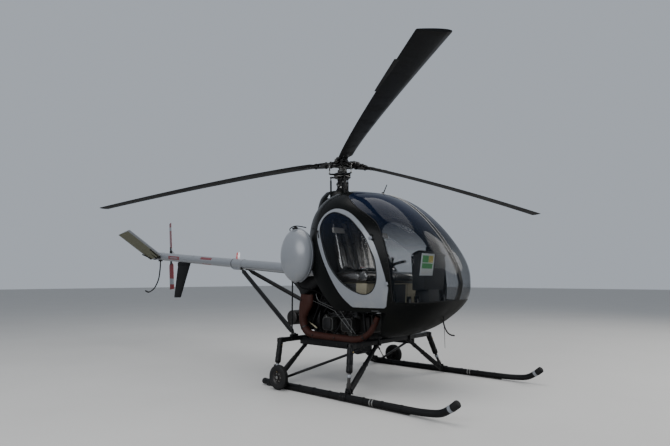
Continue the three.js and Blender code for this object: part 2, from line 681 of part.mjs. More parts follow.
const stabilizer = {
  root: [-60, 1597], tip: [-700, 2027], leading: -4300, chord: 405, drop: 65, thickness: 26,
};
const stabilizerRings = [stabilizer.root, stabilizer.tip].map(([y, z]) => {
  const outline = [[0, 0], [0.1, 0.5], [0.5, 0.5], [1, 0.05], [1, -0.05], [0.5, -0.5], [0.1, -0.5]];
  return outline.map(([back, up]) => [
    stabilizer.leading - back * stabilizer.chord, y, z - back * stabilizer.drop + up * stabilizer.thickness,
  ]);
});
piece('stabilizer', loft(stabilizerRings).subtract(join(boomClear, tailCase)), paint.white);
const finOutline = [[-3822, 1530], [-3418, 1480], [-3709, 850], [-3925, 845]];
const finHalf = 10;
piece('ventral_fin', plate(finOutline, -finHalf, finHalf).subtract(boomClear), paint.gear);
const tailSkidPath = [
  [-4447, 0, 1560], [-4452, 0, 1340], [-4499, 0, 1154], [-4636, 0, 999], [-4840, 0, 920], [-4960, 0, 950],
];
const tailSkidRadius = 11;
piece('tail_skid', bentTube(tailSkidPath, tailSkidRadius, 6, 10).subtract(boomClear), paint.gear);
const beacon = { x: -2120, low: 1400, top: 1590, radius: 38 };
const lamp = rod([beacon.x, 0, beacon.low], [beacon.x, 0, beacon.top], beacon.radius, 12);
piece('beacon', lamp.subtract(boomClear), paint.red);

// Tail rotor
const spindleEnd = tailRotor.rootRadius + tailHubSize.overlap;
const tailHub = [
  rod([0, -tailHubSize.inboard, 0], [0, tailHubSize.outboard, 0], tailHubSize.radius, 12),
  rod([0, 0, -spindleEnd], [0, 0, spindleEnd], tailHubSize.spindle, 8),
];
// Tail blade stations: distance from the hub, chord
const tailStations = [
  [tailRotor.rootRadius, 60], [180, tailRotor.chord], [tailRotor.radius, tailRotor.chord],
];
const pitch = THREE.MathUtils.degToRad(tailRotor.pitch);
for (const end of [1, -1]) {
  const outline = [[0.5, 0], [0.3, 0.5], [-0.5, 0.05], [-0.5, -0.05], [0.3, -0.5]];
  const rings = tailStations.map(([place, chord]) => (
    outline.map(([along, out]) => {
      const [wide, thick] = [along * chord, out * tailRotor.thickness];
      return [
        wide * Math.cos(pitch) + end * thick * Math.sin(pitch),
        thick * Math.cos(pitch) - end * wide * Math.sin(pitch), place * end,
      ];
    })
  ));
  tailHub.push(loft(rings));
}
const tailRotorPaint = new THREE.MeshStandardMaterial(paint.white);
const tailRotorMesh = new THREE.Mesh(geometryOf(join(...tailHub)), tailRotorPaint);
tailRotorMesh.name = 'tail_rotor';
tailRotorMesh.position.set(tailRotor.x, tailRotor.y, tailRotor.z);
tailRotorMesh.rotation.y = THREE.MathUtils.degToRad(-tailRotor.tilt);
aircraft.add(tailRotorMesh);

// Landing gear: top and foot of each strut, then top and low end of its damper
const gearStations = [
  ['front', [756, 301, 462], [854, 942, 42], [762, 776, 486], [848, 913, 82]],
  ['aft', [-250, 301, 460], [-170, 942, 50], [-288, 776, 466], [-205, 916, 76]],
];
const axle = { radius: 12, bore: 12.6 };
const strutSize = { radius: 21, thickRadius: 29, thickFrom: 0.45 };
const shockSize = { bodyRadius: 34, bodyEnd: 0.62, rodRadius: 17, eyeFrom: 0.86, eyeRadius: 24 };

function between(from, to, share) {
  return from.map((value, axis) => value + (to[axis] - value) * share);
}

function gearStrut([top, foot], grow) {
  const knee = between(top, foot, strutSize.thickFrom);
  return join(rod(top, foot, strutSize.radius + grow, 10), rod(knee, foot, strutSize.thickRadius + grow, 10));
}

function shockBody(top, low) {
  return join(
    rod(top, between(top, low, shockSize.bodyEnd), shockSize.bodyRadius, 12),
    rod(top, low, shockSize.rodRadius, 10),
    rod(between(top, low, shockSize.eyeFrom), low, shockSize.eyeRadius, 10),
  );
}

const brace = { foot: [-95, 970, 70], top: [700, 430, 430], radius: 14 };
const sole = { start: skid.rearX + 60, end: skid.bendX - 100, half: 20 };
const bracket = { half: 24, inboard: -8, outboard: 36, rise: 26 };

function soleSolid(y, grow) {
  return box(sole.start, sole.end, y - sole.half - grow, y + sole.half + grow, 0, skid.soleDepth + 20);
}

for (const [name, side] of sides) {
  const y = skid.y * side;
  const run = [
    [skid.rearX, y, skid.height], [200, y, skid.height], [1000, y, skid.height],
    [skid.bendX, y, skid.height], [1900, y, skid.height + 28], [skid.tipX, y, skid.tipHeight],
  ];
  const inboard = (skid.y + bracket.inboard) * side;
  const outboard = (skid.y + bracket.outboard) * side;
  const support = box(
    wheel.x - bracket.half, wheel.x + bracket.half, inboard, outboard, skid.height, wheel.z + bracket.rise,
  );
  const across = (place) => [wheel.x, place * side, wheel.z];
  const wheelStart = wheel.y - wheel.width / 2;
  const wheelEnd = wheel.y + wheel.width / 2;
  const stub = rod(across(skid.y), across(wheelEnd - 6), axle.radius, 12);
  piece(`skid_${name}`, join(bentTube(run, skid.radius, 12, 24), soleSolid(y, 0), support, stub), paint.gear);
  const skidClear = join(bentTube(run, skid.radius + gap, 12, 24), soleSolid(y, gap));
  for (const [where, top, foot, damperTop, damperLow] of gearStations) {
    const ends = [top, foot].map((point) => mirrored(point, side));
    piece(`gear_strut_${where}_${name}`, cut(gearStrut(ends, 0), skidClear, frameClear), paint.gear);
    const shock = shockBody(mirrored(damperTop, side), mirrored(damperLow, side));
    piece(`damper_${where}_${name}`, cut(shock, gearStrut(ends, gap), skidClear, frameClear), paint.gear);
  }
  const braceRod = rod(mirrored(brace.foot, side), mirrored(brace.top, side), brace.radius, 8);
  piece(`drag_brace_${name}`, cut(braceRod, skidClear, frameClear), paint.gear);
  const tyre = rod(across(wheelStart), across(wheelEnd), wheel.radius, 24);
  const bore = rod(across(wheelStart - wheel.width), across(wheelEnd + wheel.width), axle.bore, 12);
  piece(`ground_wheel_${name}`, tyre.subtract(bore), paint.rubber);
}

// Struts from the aft cross beam up to the bracket under the boom
const boomStruts = [
  ['starboard', [frame.aftX - 12, -520, frame.aftZ + 30], [-1995, -45, 1350]],
  ['port', [frame.aftX - 12, 580, frame.aftZ + 30], [-1985, 45, 1345]],
];
const boomStrutRadius = 24;
for (const [name, low, high] of boomStruts) {
  piece(`boom_strut_${name}`, cut(rod(low, high, boomStrutRadius, 10), boomClear, frameClear), paint.gear);
}

// Whole aircraft, moved so that the origin is the bottom centre of its box
const helicopter = new THREE.Group();
helicopter.add(aircraft);
aircraft.updateMatrixWorld(true);
const reach = new THREE.Box3().setFromObject(aircraft, true);
aircraft.position.set(-(reach.min.x + reach.max.x) / 2, -(reach.min.y + reach.max.y) / 2, -reach.min.z);

export default helicopter;
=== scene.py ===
# A light two-seat helicopter on skids, parked on a pale floor.
# All is drawn about the rotor mast (x forward, y to port, z up, in metres) and moved to the frame at the end.
import json
from math import atan2, copysign, cos, pi, radians, sin, sqrt, tau

import bmesh
import bpy
from mathutils import Matrix, Vector

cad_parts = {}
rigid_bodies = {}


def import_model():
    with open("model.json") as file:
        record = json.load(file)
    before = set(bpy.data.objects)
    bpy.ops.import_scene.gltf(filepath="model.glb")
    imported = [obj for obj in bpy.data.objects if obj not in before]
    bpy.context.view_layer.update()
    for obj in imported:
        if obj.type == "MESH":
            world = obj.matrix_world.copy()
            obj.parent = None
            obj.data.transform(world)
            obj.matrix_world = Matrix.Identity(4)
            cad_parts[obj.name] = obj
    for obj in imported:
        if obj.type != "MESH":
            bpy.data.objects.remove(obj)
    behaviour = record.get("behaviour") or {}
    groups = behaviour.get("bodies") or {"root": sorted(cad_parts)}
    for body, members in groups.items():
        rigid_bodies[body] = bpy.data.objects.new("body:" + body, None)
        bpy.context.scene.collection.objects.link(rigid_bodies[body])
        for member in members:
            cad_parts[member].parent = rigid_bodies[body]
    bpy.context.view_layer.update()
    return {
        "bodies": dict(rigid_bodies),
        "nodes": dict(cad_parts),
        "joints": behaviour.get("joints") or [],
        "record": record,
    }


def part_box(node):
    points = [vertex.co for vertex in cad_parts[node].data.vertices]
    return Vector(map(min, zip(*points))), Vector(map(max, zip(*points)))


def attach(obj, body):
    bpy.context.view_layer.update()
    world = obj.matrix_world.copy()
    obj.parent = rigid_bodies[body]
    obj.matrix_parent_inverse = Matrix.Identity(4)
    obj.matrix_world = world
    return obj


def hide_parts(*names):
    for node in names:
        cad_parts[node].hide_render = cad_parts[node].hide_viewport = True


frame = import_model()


def vec(*values):
    return Vector(values)


mastLow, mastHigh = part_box("mast")
mastAxis = vec((mastLow.x + mastHigh.x) / 2, (mastLow.y + mastHigh.y) / 2, 0)  # where the rotor axis stands
sides = (("starboard", -1), ("port", 1))
print("frame loaded, mast at", [round(value, 4) for value in mastAxis])


# Shader maths: a socket that can be added, multiplied and compared
class Value:
    def __init__(self, finish, socket):
        self.finish = finish
        self.socket = socket

    def calc(self, operation, *values):
        return self.finish.node("Math", {"operation": operation}, dict(enumerate(values)))

    def __add__(self, other):
        return self.calc("ADD", self, other)

    def __sub__(self, other):
        return self.calc("SUBTRACT", self, other)

    def __mul__(self, other):
        return self.calc("MULTIPLY", self, other)

    def __gt__(self, other):
        return self.calc("GREATER_THAN", self, other)

    def __lt__(self, other):
        return self.calc("LESS_THAN", self, other)

    def __rsub__(self, other):
        return self.calc("SUBTRACT", other, self)

    def __abs__(self):
        return self.calc("ABSOLUTE", self)

    __radd__ = __add__
    __rmul__ = __mul__

    def between(self, low, high):
        return (self > low) * (self < high)

    def ramp(self, low, high, start=0.0, end=1.0):
        return self.finish.node("MapRange", {"clamp": True}, {0: self, 1: low, 2: high, 3: start, 4: end})


# A finish: one material with its shader and the nodes that feed it
class Finish:
    def __init__(self, name, colour, roughness, **sockets):
        self.material = bpy.data.materials.new(name)
        self.material.use_nodes = True
        self.material.diffuse_color = (*colour, 1)
        self.tree = self.material.node_tree
        self.shader = self.tree.nodes["Principled BSDF"]
        self.set("Base Color", colour)
        self.set("Roughness", roughness)
        for key, value in sockets.items():
            self.set(key.replace("_", " "), value)

    def feed(self, socket, value):
        if isinstance(value, Value):
            self.tree.links.new(value.socket, socket)
        elif socket.type == "RGBA" and len(value) == 3:
            socket.default_value = (*value, 1)
        else:
            socket.default_value = value

    def set(self, name, value):
        self.feed(self.shader.inputs[name], value)
        return self

    def node(self, kind, settings=None, inputs=None, outputs=0):
        made = self.tree.nodes.new("ShaderNode" + kind)
        for key, value in (settings or {}).items():
            setattr(made, key, value)
        for key, value in (inputs or {}).items():
            self.feed(made.inputs[key], value)
        if isinstance(outputs, int):
            return Value(self, made.outputs[outputs])
        return [Value(self, made.outputs[one]) for one in outputs]

    def place(self, centre=(0, 0, 0), turn=(0, 0, 0), size=(1, 1, 1)):  # a point in the helicopter's own metres
        at = self.node("TexCoord", outputs=3)
        middle = tuple(mastAxis + Vector(centre))
        inputs = {"Vector": at, "Location": middle, "Rotation": turn, "Scale": size}
        return self.node("Mapping", {"vector_type": "TEXTURE"}, inputs)

    def axes(self, **placing):
        return self.node("SeparateXYZ", inputs={0: self.place(**placing)}, outputs=(0, 1, 2))

    def noise(self, scale, detail=3.0, rough=0.5, **placing):
        inputs = {"Vector": self.place(**placing), "Scale": scale, "Detail": detail, "Roughness": rough}
        return self.node("TexNoise", inputs=inputs)

    def cells(self, scale, feature="F1", **placing):
        inputs = {"Vector": self.place(**placing), "Scale": scale}
        return self.node("TexVoronoi", {"feature": feature}, inputs)

    def bands(self, direction, scale, **more):  # soft stripes across this direction
        inputs = {"Vector": self.place(), "Scale": scale, **more}
        return self.node("TexWave", {"bands_direction": direction}, inputs, 1)

    def mix(self, factor, first, second):
        return self.node("Mix", {"data_type": "RGBA"}, {0: factor, 6: first, 7: second}, 2)

    def bump(self, height, distance=0.001, strength=0.5):
        inputs = {"Height": height, "Distance": distance, "Strength": strength}
        return self.set("Normal", self.node("Bump", inputs=inputs))


# Finishes
# The white is white paint toned down to a light grey: painted shade over every white part. The brick of the engine
# shroud is toned down the same way, as painted shade of the engine bay.
paintTone = {"black": (0.0028, 0.0032, 0.0032), "white": (0.165, 0.175, 0.192), "red": (0.125, 0.01, 0.014),
    "brick": (0.028, 0.0068, 0.0038), "gear": (0.0042, 0.0043, 0.0048)}


def glossBlack():  # body paint, its clear coat worn away towards the belly
    paint = Finish("body_black", paintTone["black"], 0.2, Specular_IOR_Level=0.06, Coat_Roughness=0.04,
        Coat_IOR=1.18)
    height = paint.axes()[2]
    dust = paint.noise(3.2, 5, 0.6).ramp(0.42, 0.78) * height.ramp(1.35, 0.55)
    dusty = paint.mix(dust * 0.16, paintTone["black"], (0.04, 0.038, 0.026))
    paint.set("Coat Weight", height.ramp(1.1, 2.1, 0.04, 0.12))
    paint.set("Base Color", dusty)
    paint.set("Roughness", 0.22 + dust * 0.26 + paint.noise(9, 4) * 0.07 + height.ramp(1.4, 0.7) * 0.25)
    return paint.bump(paint.noise(95, 2), 0.0004, 0.1)


def satinWhite(name, grimeLow, grimeHigh):  # painted metal, a little grime towards grimeLow
    paint = Finish(name, paintTone["white"], 0.34, Coat_Weight=0.25, Coat_Roughness=0.12)
    height = paint.axes()[2]
    grime = paint.noise(7, 6, 0.65).ramp(0.45, 0.85) * height.ramp(grimeHigh, grimeLow)
    streak = paint.noise(5, 4, 0.6, size=(0.35, 0.35, 4.0)).ramp(0.55, 0.8)
    worn = paint.mix(grime * 0.35 + streak * 0.06, paintTone["white"], (0.33, 0.31, 0.27))
    paint.set("Base Color", worn)
    paint.set("Roughness", 0.28 + grime * 0.25 + paint.noise(24, 3) * 0.1)
    return paint.bump(paint.noise(140, 2), 0.0003, 0.12)


def boomWhite():  # white with red patches, each given by its stretch of boom and its height above the axis
    paint = Finish("boom_white", paintTone["white"], 0.3, Coat_Weight=0.35, Coat_Roughness=0.08)
    x, z = paint.axes()[::2]
    slope = (1.603 - 1.27) / (4.57 - 0.33)
    above = z - (1.27 - (x + 0.33) * slope)  # height over the boom's own axis
    frameA = x.between(-4.06, -3.7) * above.between(-0.034, 0.026)
    centreA = x.between(-4.01, -3.75) * above.between(-0.019, 0.01)
    blockB = x.between(-3.05, -2.74) * above.between(0.016, 0.054)
    rowsB = blockB * (paint.bands("Z", 16.0) > 0.8) * x.between(-2.99, -2.76)
    lineB = x.between(-3.03, -2.77) * above.between(-0.066, -0.05)
    red = frameA - centreA * 0.6 + blockB - rowsB * 0.25 + lineB
    grime = paint.noise(6, 6, 0.65, size=(3.0, 1, 1)).ramp(0.5, 0.85) * above.ramp(0.03, -0.085)
    soot = paint.noise(3.0, 4, 0.6).ramp(0.35, 0.75) * x.ramp(-1.5, -0.4) * above.ramp(0.02, -0.08)
    worn = paint.mix(grime * 0.45 + soot * 0.35, paintTone["white"], (0.2, 0.19, 0.17))
    paint.set("Base Color", paint.mix(red, worn, paintTone["red"]))
    paint.set("Roughness", 0.26 + grime * 0.3 + paint.noise(24, 3) * 0.08)
    seams = paint.bands("X", 0.62).ramp(0.996, 1.0)
    return paint.bump(paint.noise(120, 2) * 0.15 - seams, 0.0012, 0.4)


def bandedRotor():  # tail blades: white root, red, white and red again to the tip
    paint = Finish("tail_blade_bands", paintTone["red"], 0.35, Coat_Weight=0.3, Coat_Roughness=0.1)
    z = paint.axes(centre=(-4.643, 0.328, 1.62))[2]
    out = abs(z)
    white = out.between(0.02, 0.15) + z.between(0.49, 0.56) + (0 - z).between(0.44, 0.55)
    scuff = paint.noise(38, 6, 0.7).ramp(0.6, 0.72) * 0.4
    paint.set("Base Color", paint.mix(scuff, paint.mix(white, paintTone["red"], paintTone["white"]),
        (0.1, 0.09, 0.09)))
    paint.set("Roughness", 0.3 + scuff * 0.4)
    return paint.bump(paint.noise(160, 2), 0.0003, 0.15)


def satinBlack(name, tone=None, roughness=0.36, chips=0.5, grit=0.22):  # painted steel with small chips and dust
    paint = Finish(name, tone or paintTone["gear"], roughness, Specular_IOR_Level=0.14)
    dust = paint.noise(5.5, 6, 0.65).ramp(0.48, 0.82)
    chip = (paint.noise(120, 4, 0.6) > 0.7) * paint.noise(9, 2).ramp(0.45, 0.7) * chips
    base = paint.mix(dust * 0.08, tone or paintTone["gear"], (0.04, 0.037, 0.032))
    paint.set("Base Color", paint.mix(chip, base, (0.2, 0.19, 0.18)))
    paint.set("Roughness", roughness + dust * 0.22)
    paint.set("Metallic", chip * 0.8)
    return paint.bump(paint.noise(210, 3), 0.0003, grit)


def bareMetal(name, tone, roughness, grain=260.0, stain=0.25, **sockets):  # turned or drawn metal
    metal = Finish(name, tone, roughness, Metallic=1.0, **sockets)
    fine = metal.noise(grain, 3, 0.6, size=(1, 1, 0.15))
    dull = metal.noise(11, 5, 0.6).ramp(0.45, 0.8)
    metal.set("Base Color", metal.mix(dull * stain, tone, tuple(channel * 0.35 for channel in tone)))
    metal.set("Roughness", roughness + fine * 0.12 + dull * 0.18)
    return metal.bump(fine, 0.0002, 0.18)


def castAlloy(name, tone, oil=0.4):  # sand-cast metal with oily shadows in its hollows
    metal = Finish(name, tone, 0.5, Metallic=0.75)
    grit = metal.noise(190, 4, 0.65)
    oily = metal.noise(8, 5, 0.6).ramp(0.42, 0.72) * oil
    metal.set("Base Color", metal.mix(oily, tone, (0.03, 0.024, 0.018)))
    metal.set("Roughness", 0.52 - oily * 0.25 + grit * 0.12)
    return metal.bump(grit, 0.0008, 0.35)


def rubberFinish(name, tone=(0.012, 0.012, 0.012)):
    rubber = Finish(name, tone, 0.72, Specular_IOR_Level=0.2)
    dust = rubber.noise(14, 6, 0.7).ramp(0.45, 0.8)
    rubber.set("Base Color", rubber.mix(dust * 0.16, tone, (0.05, 0.046, 0.04)))
    rubber.set("Roughness", 0.62 + dust * 0.25)
    return rubber.bump(rubber.noise(170, 3), 0.0005, 0.3)


def leatherFinish():  # black upholstery with a pebbled grain and soft folds
    hide = Finish("seat_leather", (0.02, 0.018, 0.016), 0.34, Specular_IOR_Level=1.0, Sheen_Weight=0.08,
        Coat_Weight=0.9, Coat_Roughness=0.12, Coat_IOR=1.75)
    grain = hide.cells(430, "DISTANCE_TO_EDGE").ramp(0.0, 0.22)
    fold = hide.noise(26, 4, 0.55)
    shade = hide.noise(6, 3)
    hide.set("Base Color", hide.mix(shade * 0.6, (0.018, 0.016, 0.015), (0.042, 0.036, 0.031)))
    hide.set("Roughness", 0.14 + shade * 0.14 + (1 - grain) * 0.08)
    return hide.bump(grain * 0.22 + fold, 0.0016, 0.45)


def vinylFinish(name, tone, dark):  # grained trim panel
    trim = Finish(name, tone, 0.58)
    grain = trim.cells(320).ramp(0.0, 0.7)
    shade = trim.noise(7, 4)
    trim.set("Base Color", trim.mix(shade.ramp(0.35, 0.75), tone, dark))
    trim.set("Roughness", 0.52 + shade * 0.15)
    return trim.bump(grain, 0.0006, 0.3)


def webbingFinish():  # belt webbing, woven across its length
    webbing = Finish("belt_webbing", (0.022, 0.022, 0.024), 0.75, Sheen_Weight=0.25)
    weave = webbing.bands("DIAGONAL", 150.0, Distortion=0.4, Detail=1.0)
    webbing.set("Base Color", webbing.mix(weave, (0.016, 0.016, 0.018), (0.042, 0.042, 0.045)))
    return webbing.bump(weave, 0.0006, 0.5)


def clearPane(name, tint, clear, roofTint):  # tinted acrylic, darker and bluer towards the roof
    pane = Finish(name, tint, 0.03, IOR=1.22)
    pane.material.surface_render_method = "BLENDED"
    height = pane.axes()[2]
    band = height.ramp(1.45, 1.98)
    facing = pane.node("LayerWeight", inputs={"Blend": 0.35}, outputs=1)
    smear = pane.noise(4.5, 5, 0.7).ramp(0.5, 0.9)
    pane.set("Base Color", pane.mix(band, tint, (0.006, 0.01, 0.024)))
    pane.set("Roughness", 0.015 + smear * 0.05)
    pane.set("Alpha", clear + (facing * facing) * (0.66 - clear * 0.4) + band * roofTint + smear * 0.03)
    return pane


def lampFinish(name, tone):  # moulded lens with a ribbed inside
    lens = Finish(name, tone, 0.08, Coat_Weight=1.0, Coat_Roughness=0.02, Specular_IOR_Level=0.6)
    ribs = lens.bands("Z", 90.0)
    lens.set("Base Color", lens.mix(ribs * 0.6, tone, tuple(channel * 0.45 for channel in tone)))
    return lens.bump(ribs, 0.0006, 0.3)


def printedCard(name, tone):  # a plain card held behind the glass
    card = Finish(name, tone, 0.45)
    card.set("Base Color", card.mix(card.noise(60, 3).ramp(0.4, 0.9) * 0.25, tone, tuple(c * 0.75 for c in tone)))
    return card.bump(card.noise(300, 2), 0.0002, 0.1)


def floorFinish():
    ground = Finish("floor_pale", (0.44, 0.43, 0.415), 0.6)
    cloud = ground.noise(0.7, 6, 0.6)
    fine = ground.noise(60, 4, 0.7)
    ground.set("Base Color", ground.mix(cloud, (0.42, 0.41, 0.395), (0.48, 0.47, 0.455)))
    ground.set("Roughness", 0.5 + fine * 0.2)
    return ground.bump(fine, 0.001, 0.15)


blackPaint = glossBlack()
doorPaint = satinWhite("door_white", 0.87, 1.25)
tankPaint = satinWhite("tank_white", 1.12, 1.5)
tailPaint = satinWhite("tail_white", 1.4, 2.1)
boomPaint = boomWhite()
tailBlade = bandedRotor()
redPaint = lampFinish("beacon_red", (0.5, 0.01, 0.01))
# near-white lens colour: a painted highlight for the glint on the red beacon
glintLens = lampFinish("beacon_painted_glint", (0.8, 0.8, 0.82))
gearPaint = satinBlack("gear_black")
headPaint = satinBlack("rotor_head_black", (0.006, 0.006, 0.0065), 0.4, 0.35)
bladePaint = satinBlack("blade_black", (0.004, 0.004, 0.0045), 0.46, 0.0, 0.05)
# olive grey for the stabilizer's underside: painted shade with a painted green bounce light, on a wing that is
# white
stabShadeUnder = satinBlack("stabilizer_underside_shaded", (0.125, 0.124, 0.088), 0.6, 0.0, 0.03)
bladeEdge = satinBlack("blade_edge", (0.012, 0.012, 0.013), 0.34, 0.0, 0.05)
steel = bareMetal("bare_steel", (0.26, 0.255, 0.245), 0.3)
darkSteel = bareMetal("dark_steel", (0.04, 0.038, 0.037), 0.45)
chrome = bareMetal("bright_chrome", (0.82, 0.82, 0.83), 0.07, 40.0, 0.05)
burntSteel = bareMetal("burnt_steel", (0.045, 0.036, 0.032), 0.5, 120.0, 0.6)
brass = bareMetal("brass_fitting", (0.58, 0.42, 0.18), 0.3)
# The cast alloy, the grey gear case and the dark engine case are all toned far down: painted shade of the engine
# bay, carried to every part in these finishes.
alloy = castAlloy("cast_alloy", (0.07, 0.07, 0.068))
lineMetal = bareMetal("line_metal", (0.12, 0.12, 0.118), 0.4)
greyCase = castAlloy("gear_case_grey", (0.095, 0.098, 0.102), 0.5)
darkShadedCase = castAlloy("engine_case_dark_shaded", (0.018, 0.018, 0.019), 0.5)
stepTone = satinBlack("step_plate", (0.03, 0.031, 0.031), 0.5, 0.0, 0.05)
tyreRubber = rubberFinish("tyre_rubber", (0.007, 0.007, 0.0075))
sealRubber = rubberFinish("seal_rubber", (0.0055, 0.0055, 0.006))
shroudPaint = rubberFinish("shroud_brick", paintTone["brick"])
leather = leatherFinish()
beigeTrim = vinylFinish("beige_trim", (0.4, 0.36, 0.25), (0.31, 0.275, 0.19))
paleTrim = vinylFinish("pale_trim", (0.6, 0.585, 0.54), (0.5, 0.48, 0.44))
darkTrim = vinylFinish("dark_trim", (0.015, 0.015, 0.0155), (0.026, 0.026, 0.027))
webbing = webbingFinish()
screenGlass = clearPane("screen_tint", (0.006, 0.009, 0.013), 0.24, 0.58)
doorGlass = clearPane("door_tint", (0.006, 0.008, 0.01), 0.14, 0.3)
cardPale = printedCard("card_pale", (0.62, 0.66, 0.68))
cardGreen = printedCard("card_green", (0.1, 0.36, 0.13))
cardYellow = printedCard("card_yellow", (0.58, 0.5, 0.12))
wireRed = rubberFinish("wire_red", (0.3, 0.02, 0.018))
floorPaint = floorFinish()
print("finishes made:", len(bpy.data.materials))


# Shapes. Each function returns a bmesh, and a Piece gathers them under one name.
# the points with a soft curve run through them, for points of any length
def smoothed(points, per=6, closed=False):
    points = [Vector(point) for point in points]
    count = len(points)
    run = []
    for index in range(count if closed else count - 1):
        if closed:
            a, b, c, d = (points[(index + step) % count] for step in (-1, 0, 1, 2))
        else:
            a, b, c, d = (points[min(max(index + step, 0), count - 1)] for step in (-1, 0, 1, 2))
        for part in range(per):
            t = part / per
            run.append(0.5 * (2 * b + (c - a) * t + (2 * a - 5 * b + 4 * c - d) * t * t + (3 * b - a - 3 * c
                + d) * t ** 3))
    return run if closed else run + [points[-1]]


def spaced(points, count, closed=False):  # the same run with its points evenly apart
    ring = points + [points[0]] if closed else points
    lengths = [0.0]
    for before, after in zip(ring, ring[1:]):
        lengths.append(lengths[-1] + (after - before).length)
    steps = [lengths[-1] * part / (count if closed else count - 1) for part in range(count)]
    run, place = [], 0
    for step in steps:
        while place < len(ring) - 2 and lengths[place + 1] < step:
            place += 1
        share = (step - lengths[place]) / max(lengths[place + 1] - lengths[place], 1e-9)
        run.append(ring[place].lerp(ring[place + 1], min(share, 1)))
    return run


def grownOutline(outline, distance):  # a closed outline moved outwards, or inwards for a negative distance
    area = sum(a[0] * b[1] - b[0] * a[1] for a, b in zip(outline, outline[1:] + outline[:1]))
    out = distance if area > 0 else -distance
    grown = []
    for index, point in enumerate(outline):
        arriving = (Vector(point[:2]) - Vector(outline[index - 1][:2])).normalized()
        leaving = (Vector(outline[(index + 1) % len(outline)][:2]) - Vector(point[:2])).normalized()
        run = (arriving + leaving).normalized()
        reach = out / max(run.dot(leaving), 0.5)
        grown.append((point[0] + run.y * reach, point[1] - run.x * reach))
    return grown


def circle(sides, start=0.0):
    turns = [(spot + start) / sides * tau for spot in range(sides)]
    return [(cos(turn), sin(turn)) for turn in turns]


def mirrored(side):
    return Matrix.Diagonal((1, side, 1, 1))


def shifted(place):
    return Matrix.Translation(place)


def spun(degrees, axis):
    return Matrix.Rotation(radians(degrees), 4, axis)


def moved(shape, matrix):
    bmesh.ops.transform(shape, matrix=matrix, verts=shape.verts)
    return shape


def placedAt(origin, right, up, ahead):  # a matrix that carries a flat outline to a place
    columns = (Vector(right), Vector(up), Vector(ahead), Vector(origin))
    return Matrix([[column[row] for column in columns] for row in range(3)] + [[0, 0, 0, 1]])


def levelPlace(x, y, z, halfX, halfY):  # the same for an outline that lies level
    return placedAt((x, y, z), (halfX, 0, 0), (0, halfY, 0), (0, 0, 1))


def stepped(sizes):  # a radius that follows a list along its path
    return lambda share: sizes[round(share * (len(sizes) - 1))]


def bushing(bore, rim, half, lip=0.002):  # profile of a short ring with broken outer edges
    edge = 0.003
    return [(bore, -half), (rim, -half), (rim + lip, -half + edge), (rim + lip, half - edge), (rim, half),
        (bore, half)]


def framesAlong(points, radius, flat=1.0, upright=None, closed=False):  # circle frames along a path, without twist
    points = [Vector(point) for point in points]
    count = len(points)
    frames, side = [], None
    for index, point in enumerate(points):
        before = points[index - 1] if closed or index else point
        after = points[(index + 1) % count] if closed else points[min(index + 1, count - 1)]
        ahead = (after - before).normalized()
        if upright is not None:
            side = ahead.cross(Vector(upright))
        elif side is None:
            side = ahead.orthogonal()
        side = (side - ahead * side.dot(ahead)).normalized()
        size = radius(index / (count - 1)) if callable(radius) else radius
        frames.append(placedAt(point, side * size, ahead.cross(side) * -size * flat, ahead * max(size, 1e-5)))
    return frames


def loft(outline, places, closed=False):  # a flat outline carried from place to place
    shape = bmesh.new()
    ring = [shape.verts.new((u, v, 0)) for u, v in outline]
    first = [shape.edges.new((a, b)) for a, b in zip(ring, ring[1:] + ring[:1])]
    bmesh.ops.transform(shape, matrix=places[0], verts=ring)
    edges = first
    for before, after in zip(places, places[1:]):
        grown = bmesh.ops.extrude_edge_only(shape, edges=edges)["geom"]
        edges = [item for item in grown if isinstance(item, bmesh.types.BMEdge)]
        verts = [item for item in grown if isinstance(item, bmesh.types.BMVert)]
        bmesh.ops.transform(shape, matrix=after @ before.inverted(), verts=verts)
    if closed:
        bmesh.ops.bridge_loops(shape, edges=first + edges)
    else:
        bmesh.ops.edgeloop_fill(shape, edges=first)
        bmesh.ops.edgeloop_fill(shape, edges=edges)
    bmesh.ops.recalc_face_normals(shape, faces=shape.faces)
    return shape


def tube(points, radius, sides=12, flat=1.0, upright=None, closed=False):
    return loft(circle(sides, 0.5), framesAlong(points, radius, flat, upright, closed), closed)


def rod(start, end, radius, endRadius=None, sides=16):
    start, end = Vector(start), Vector(end)
    along = end - start
    turn = along.to_track_quat("Z", "Y").to_matrix().to_4x4()
    shape = bmesh.new()
    bmesh.ops.create_cone(shape, cap_ends=True, segments=sides, radius1=radius,
        radius2=radius if endRadius is None else endRadius, depth=along.length,
        matrix=shifted((start + end) / 2) @ turn)
    return shape


def block(low, high, turn=None):
    low, high = Vector(low), Vector(high)
    shape = bmesh.new()
    bmesh.ops.create_cube(shape, size=1, matrix=shifted((low + high) / 2) @ Matrix.Diagonal((*(high - low), 1)))
    if turn is not None:
        moved(shape, turn)
    return shape


def prism(outline, low, high):  # a side-view outline (x, z) made solid from y = low to y = high
    shape = bmesh.new()
    face = shape.faces.new([shape.verts.new((point[0], low, point[1])) for point in outline])
    grown = bmesh.ops.extrude_face_region(shape, geom=[face])["geom"]
    bmesh.ops.translate(shape, verts=[v for v in grown if isinstance(v, bmesh.types.BMVert)],
        vec=(0, high - low, 0))
    bmesh.ops.recalc_face_normals(shape, faces=shape.faces)
    return shape


def lyingPlate(outline, low, high):  # the same for a plan (x, y), solid from z = low to z = high
    shape = prism(outline, -high, -low)
    moved(shape, Matrix.Rotation(-pi / 2, 4, "X"))
    return shape


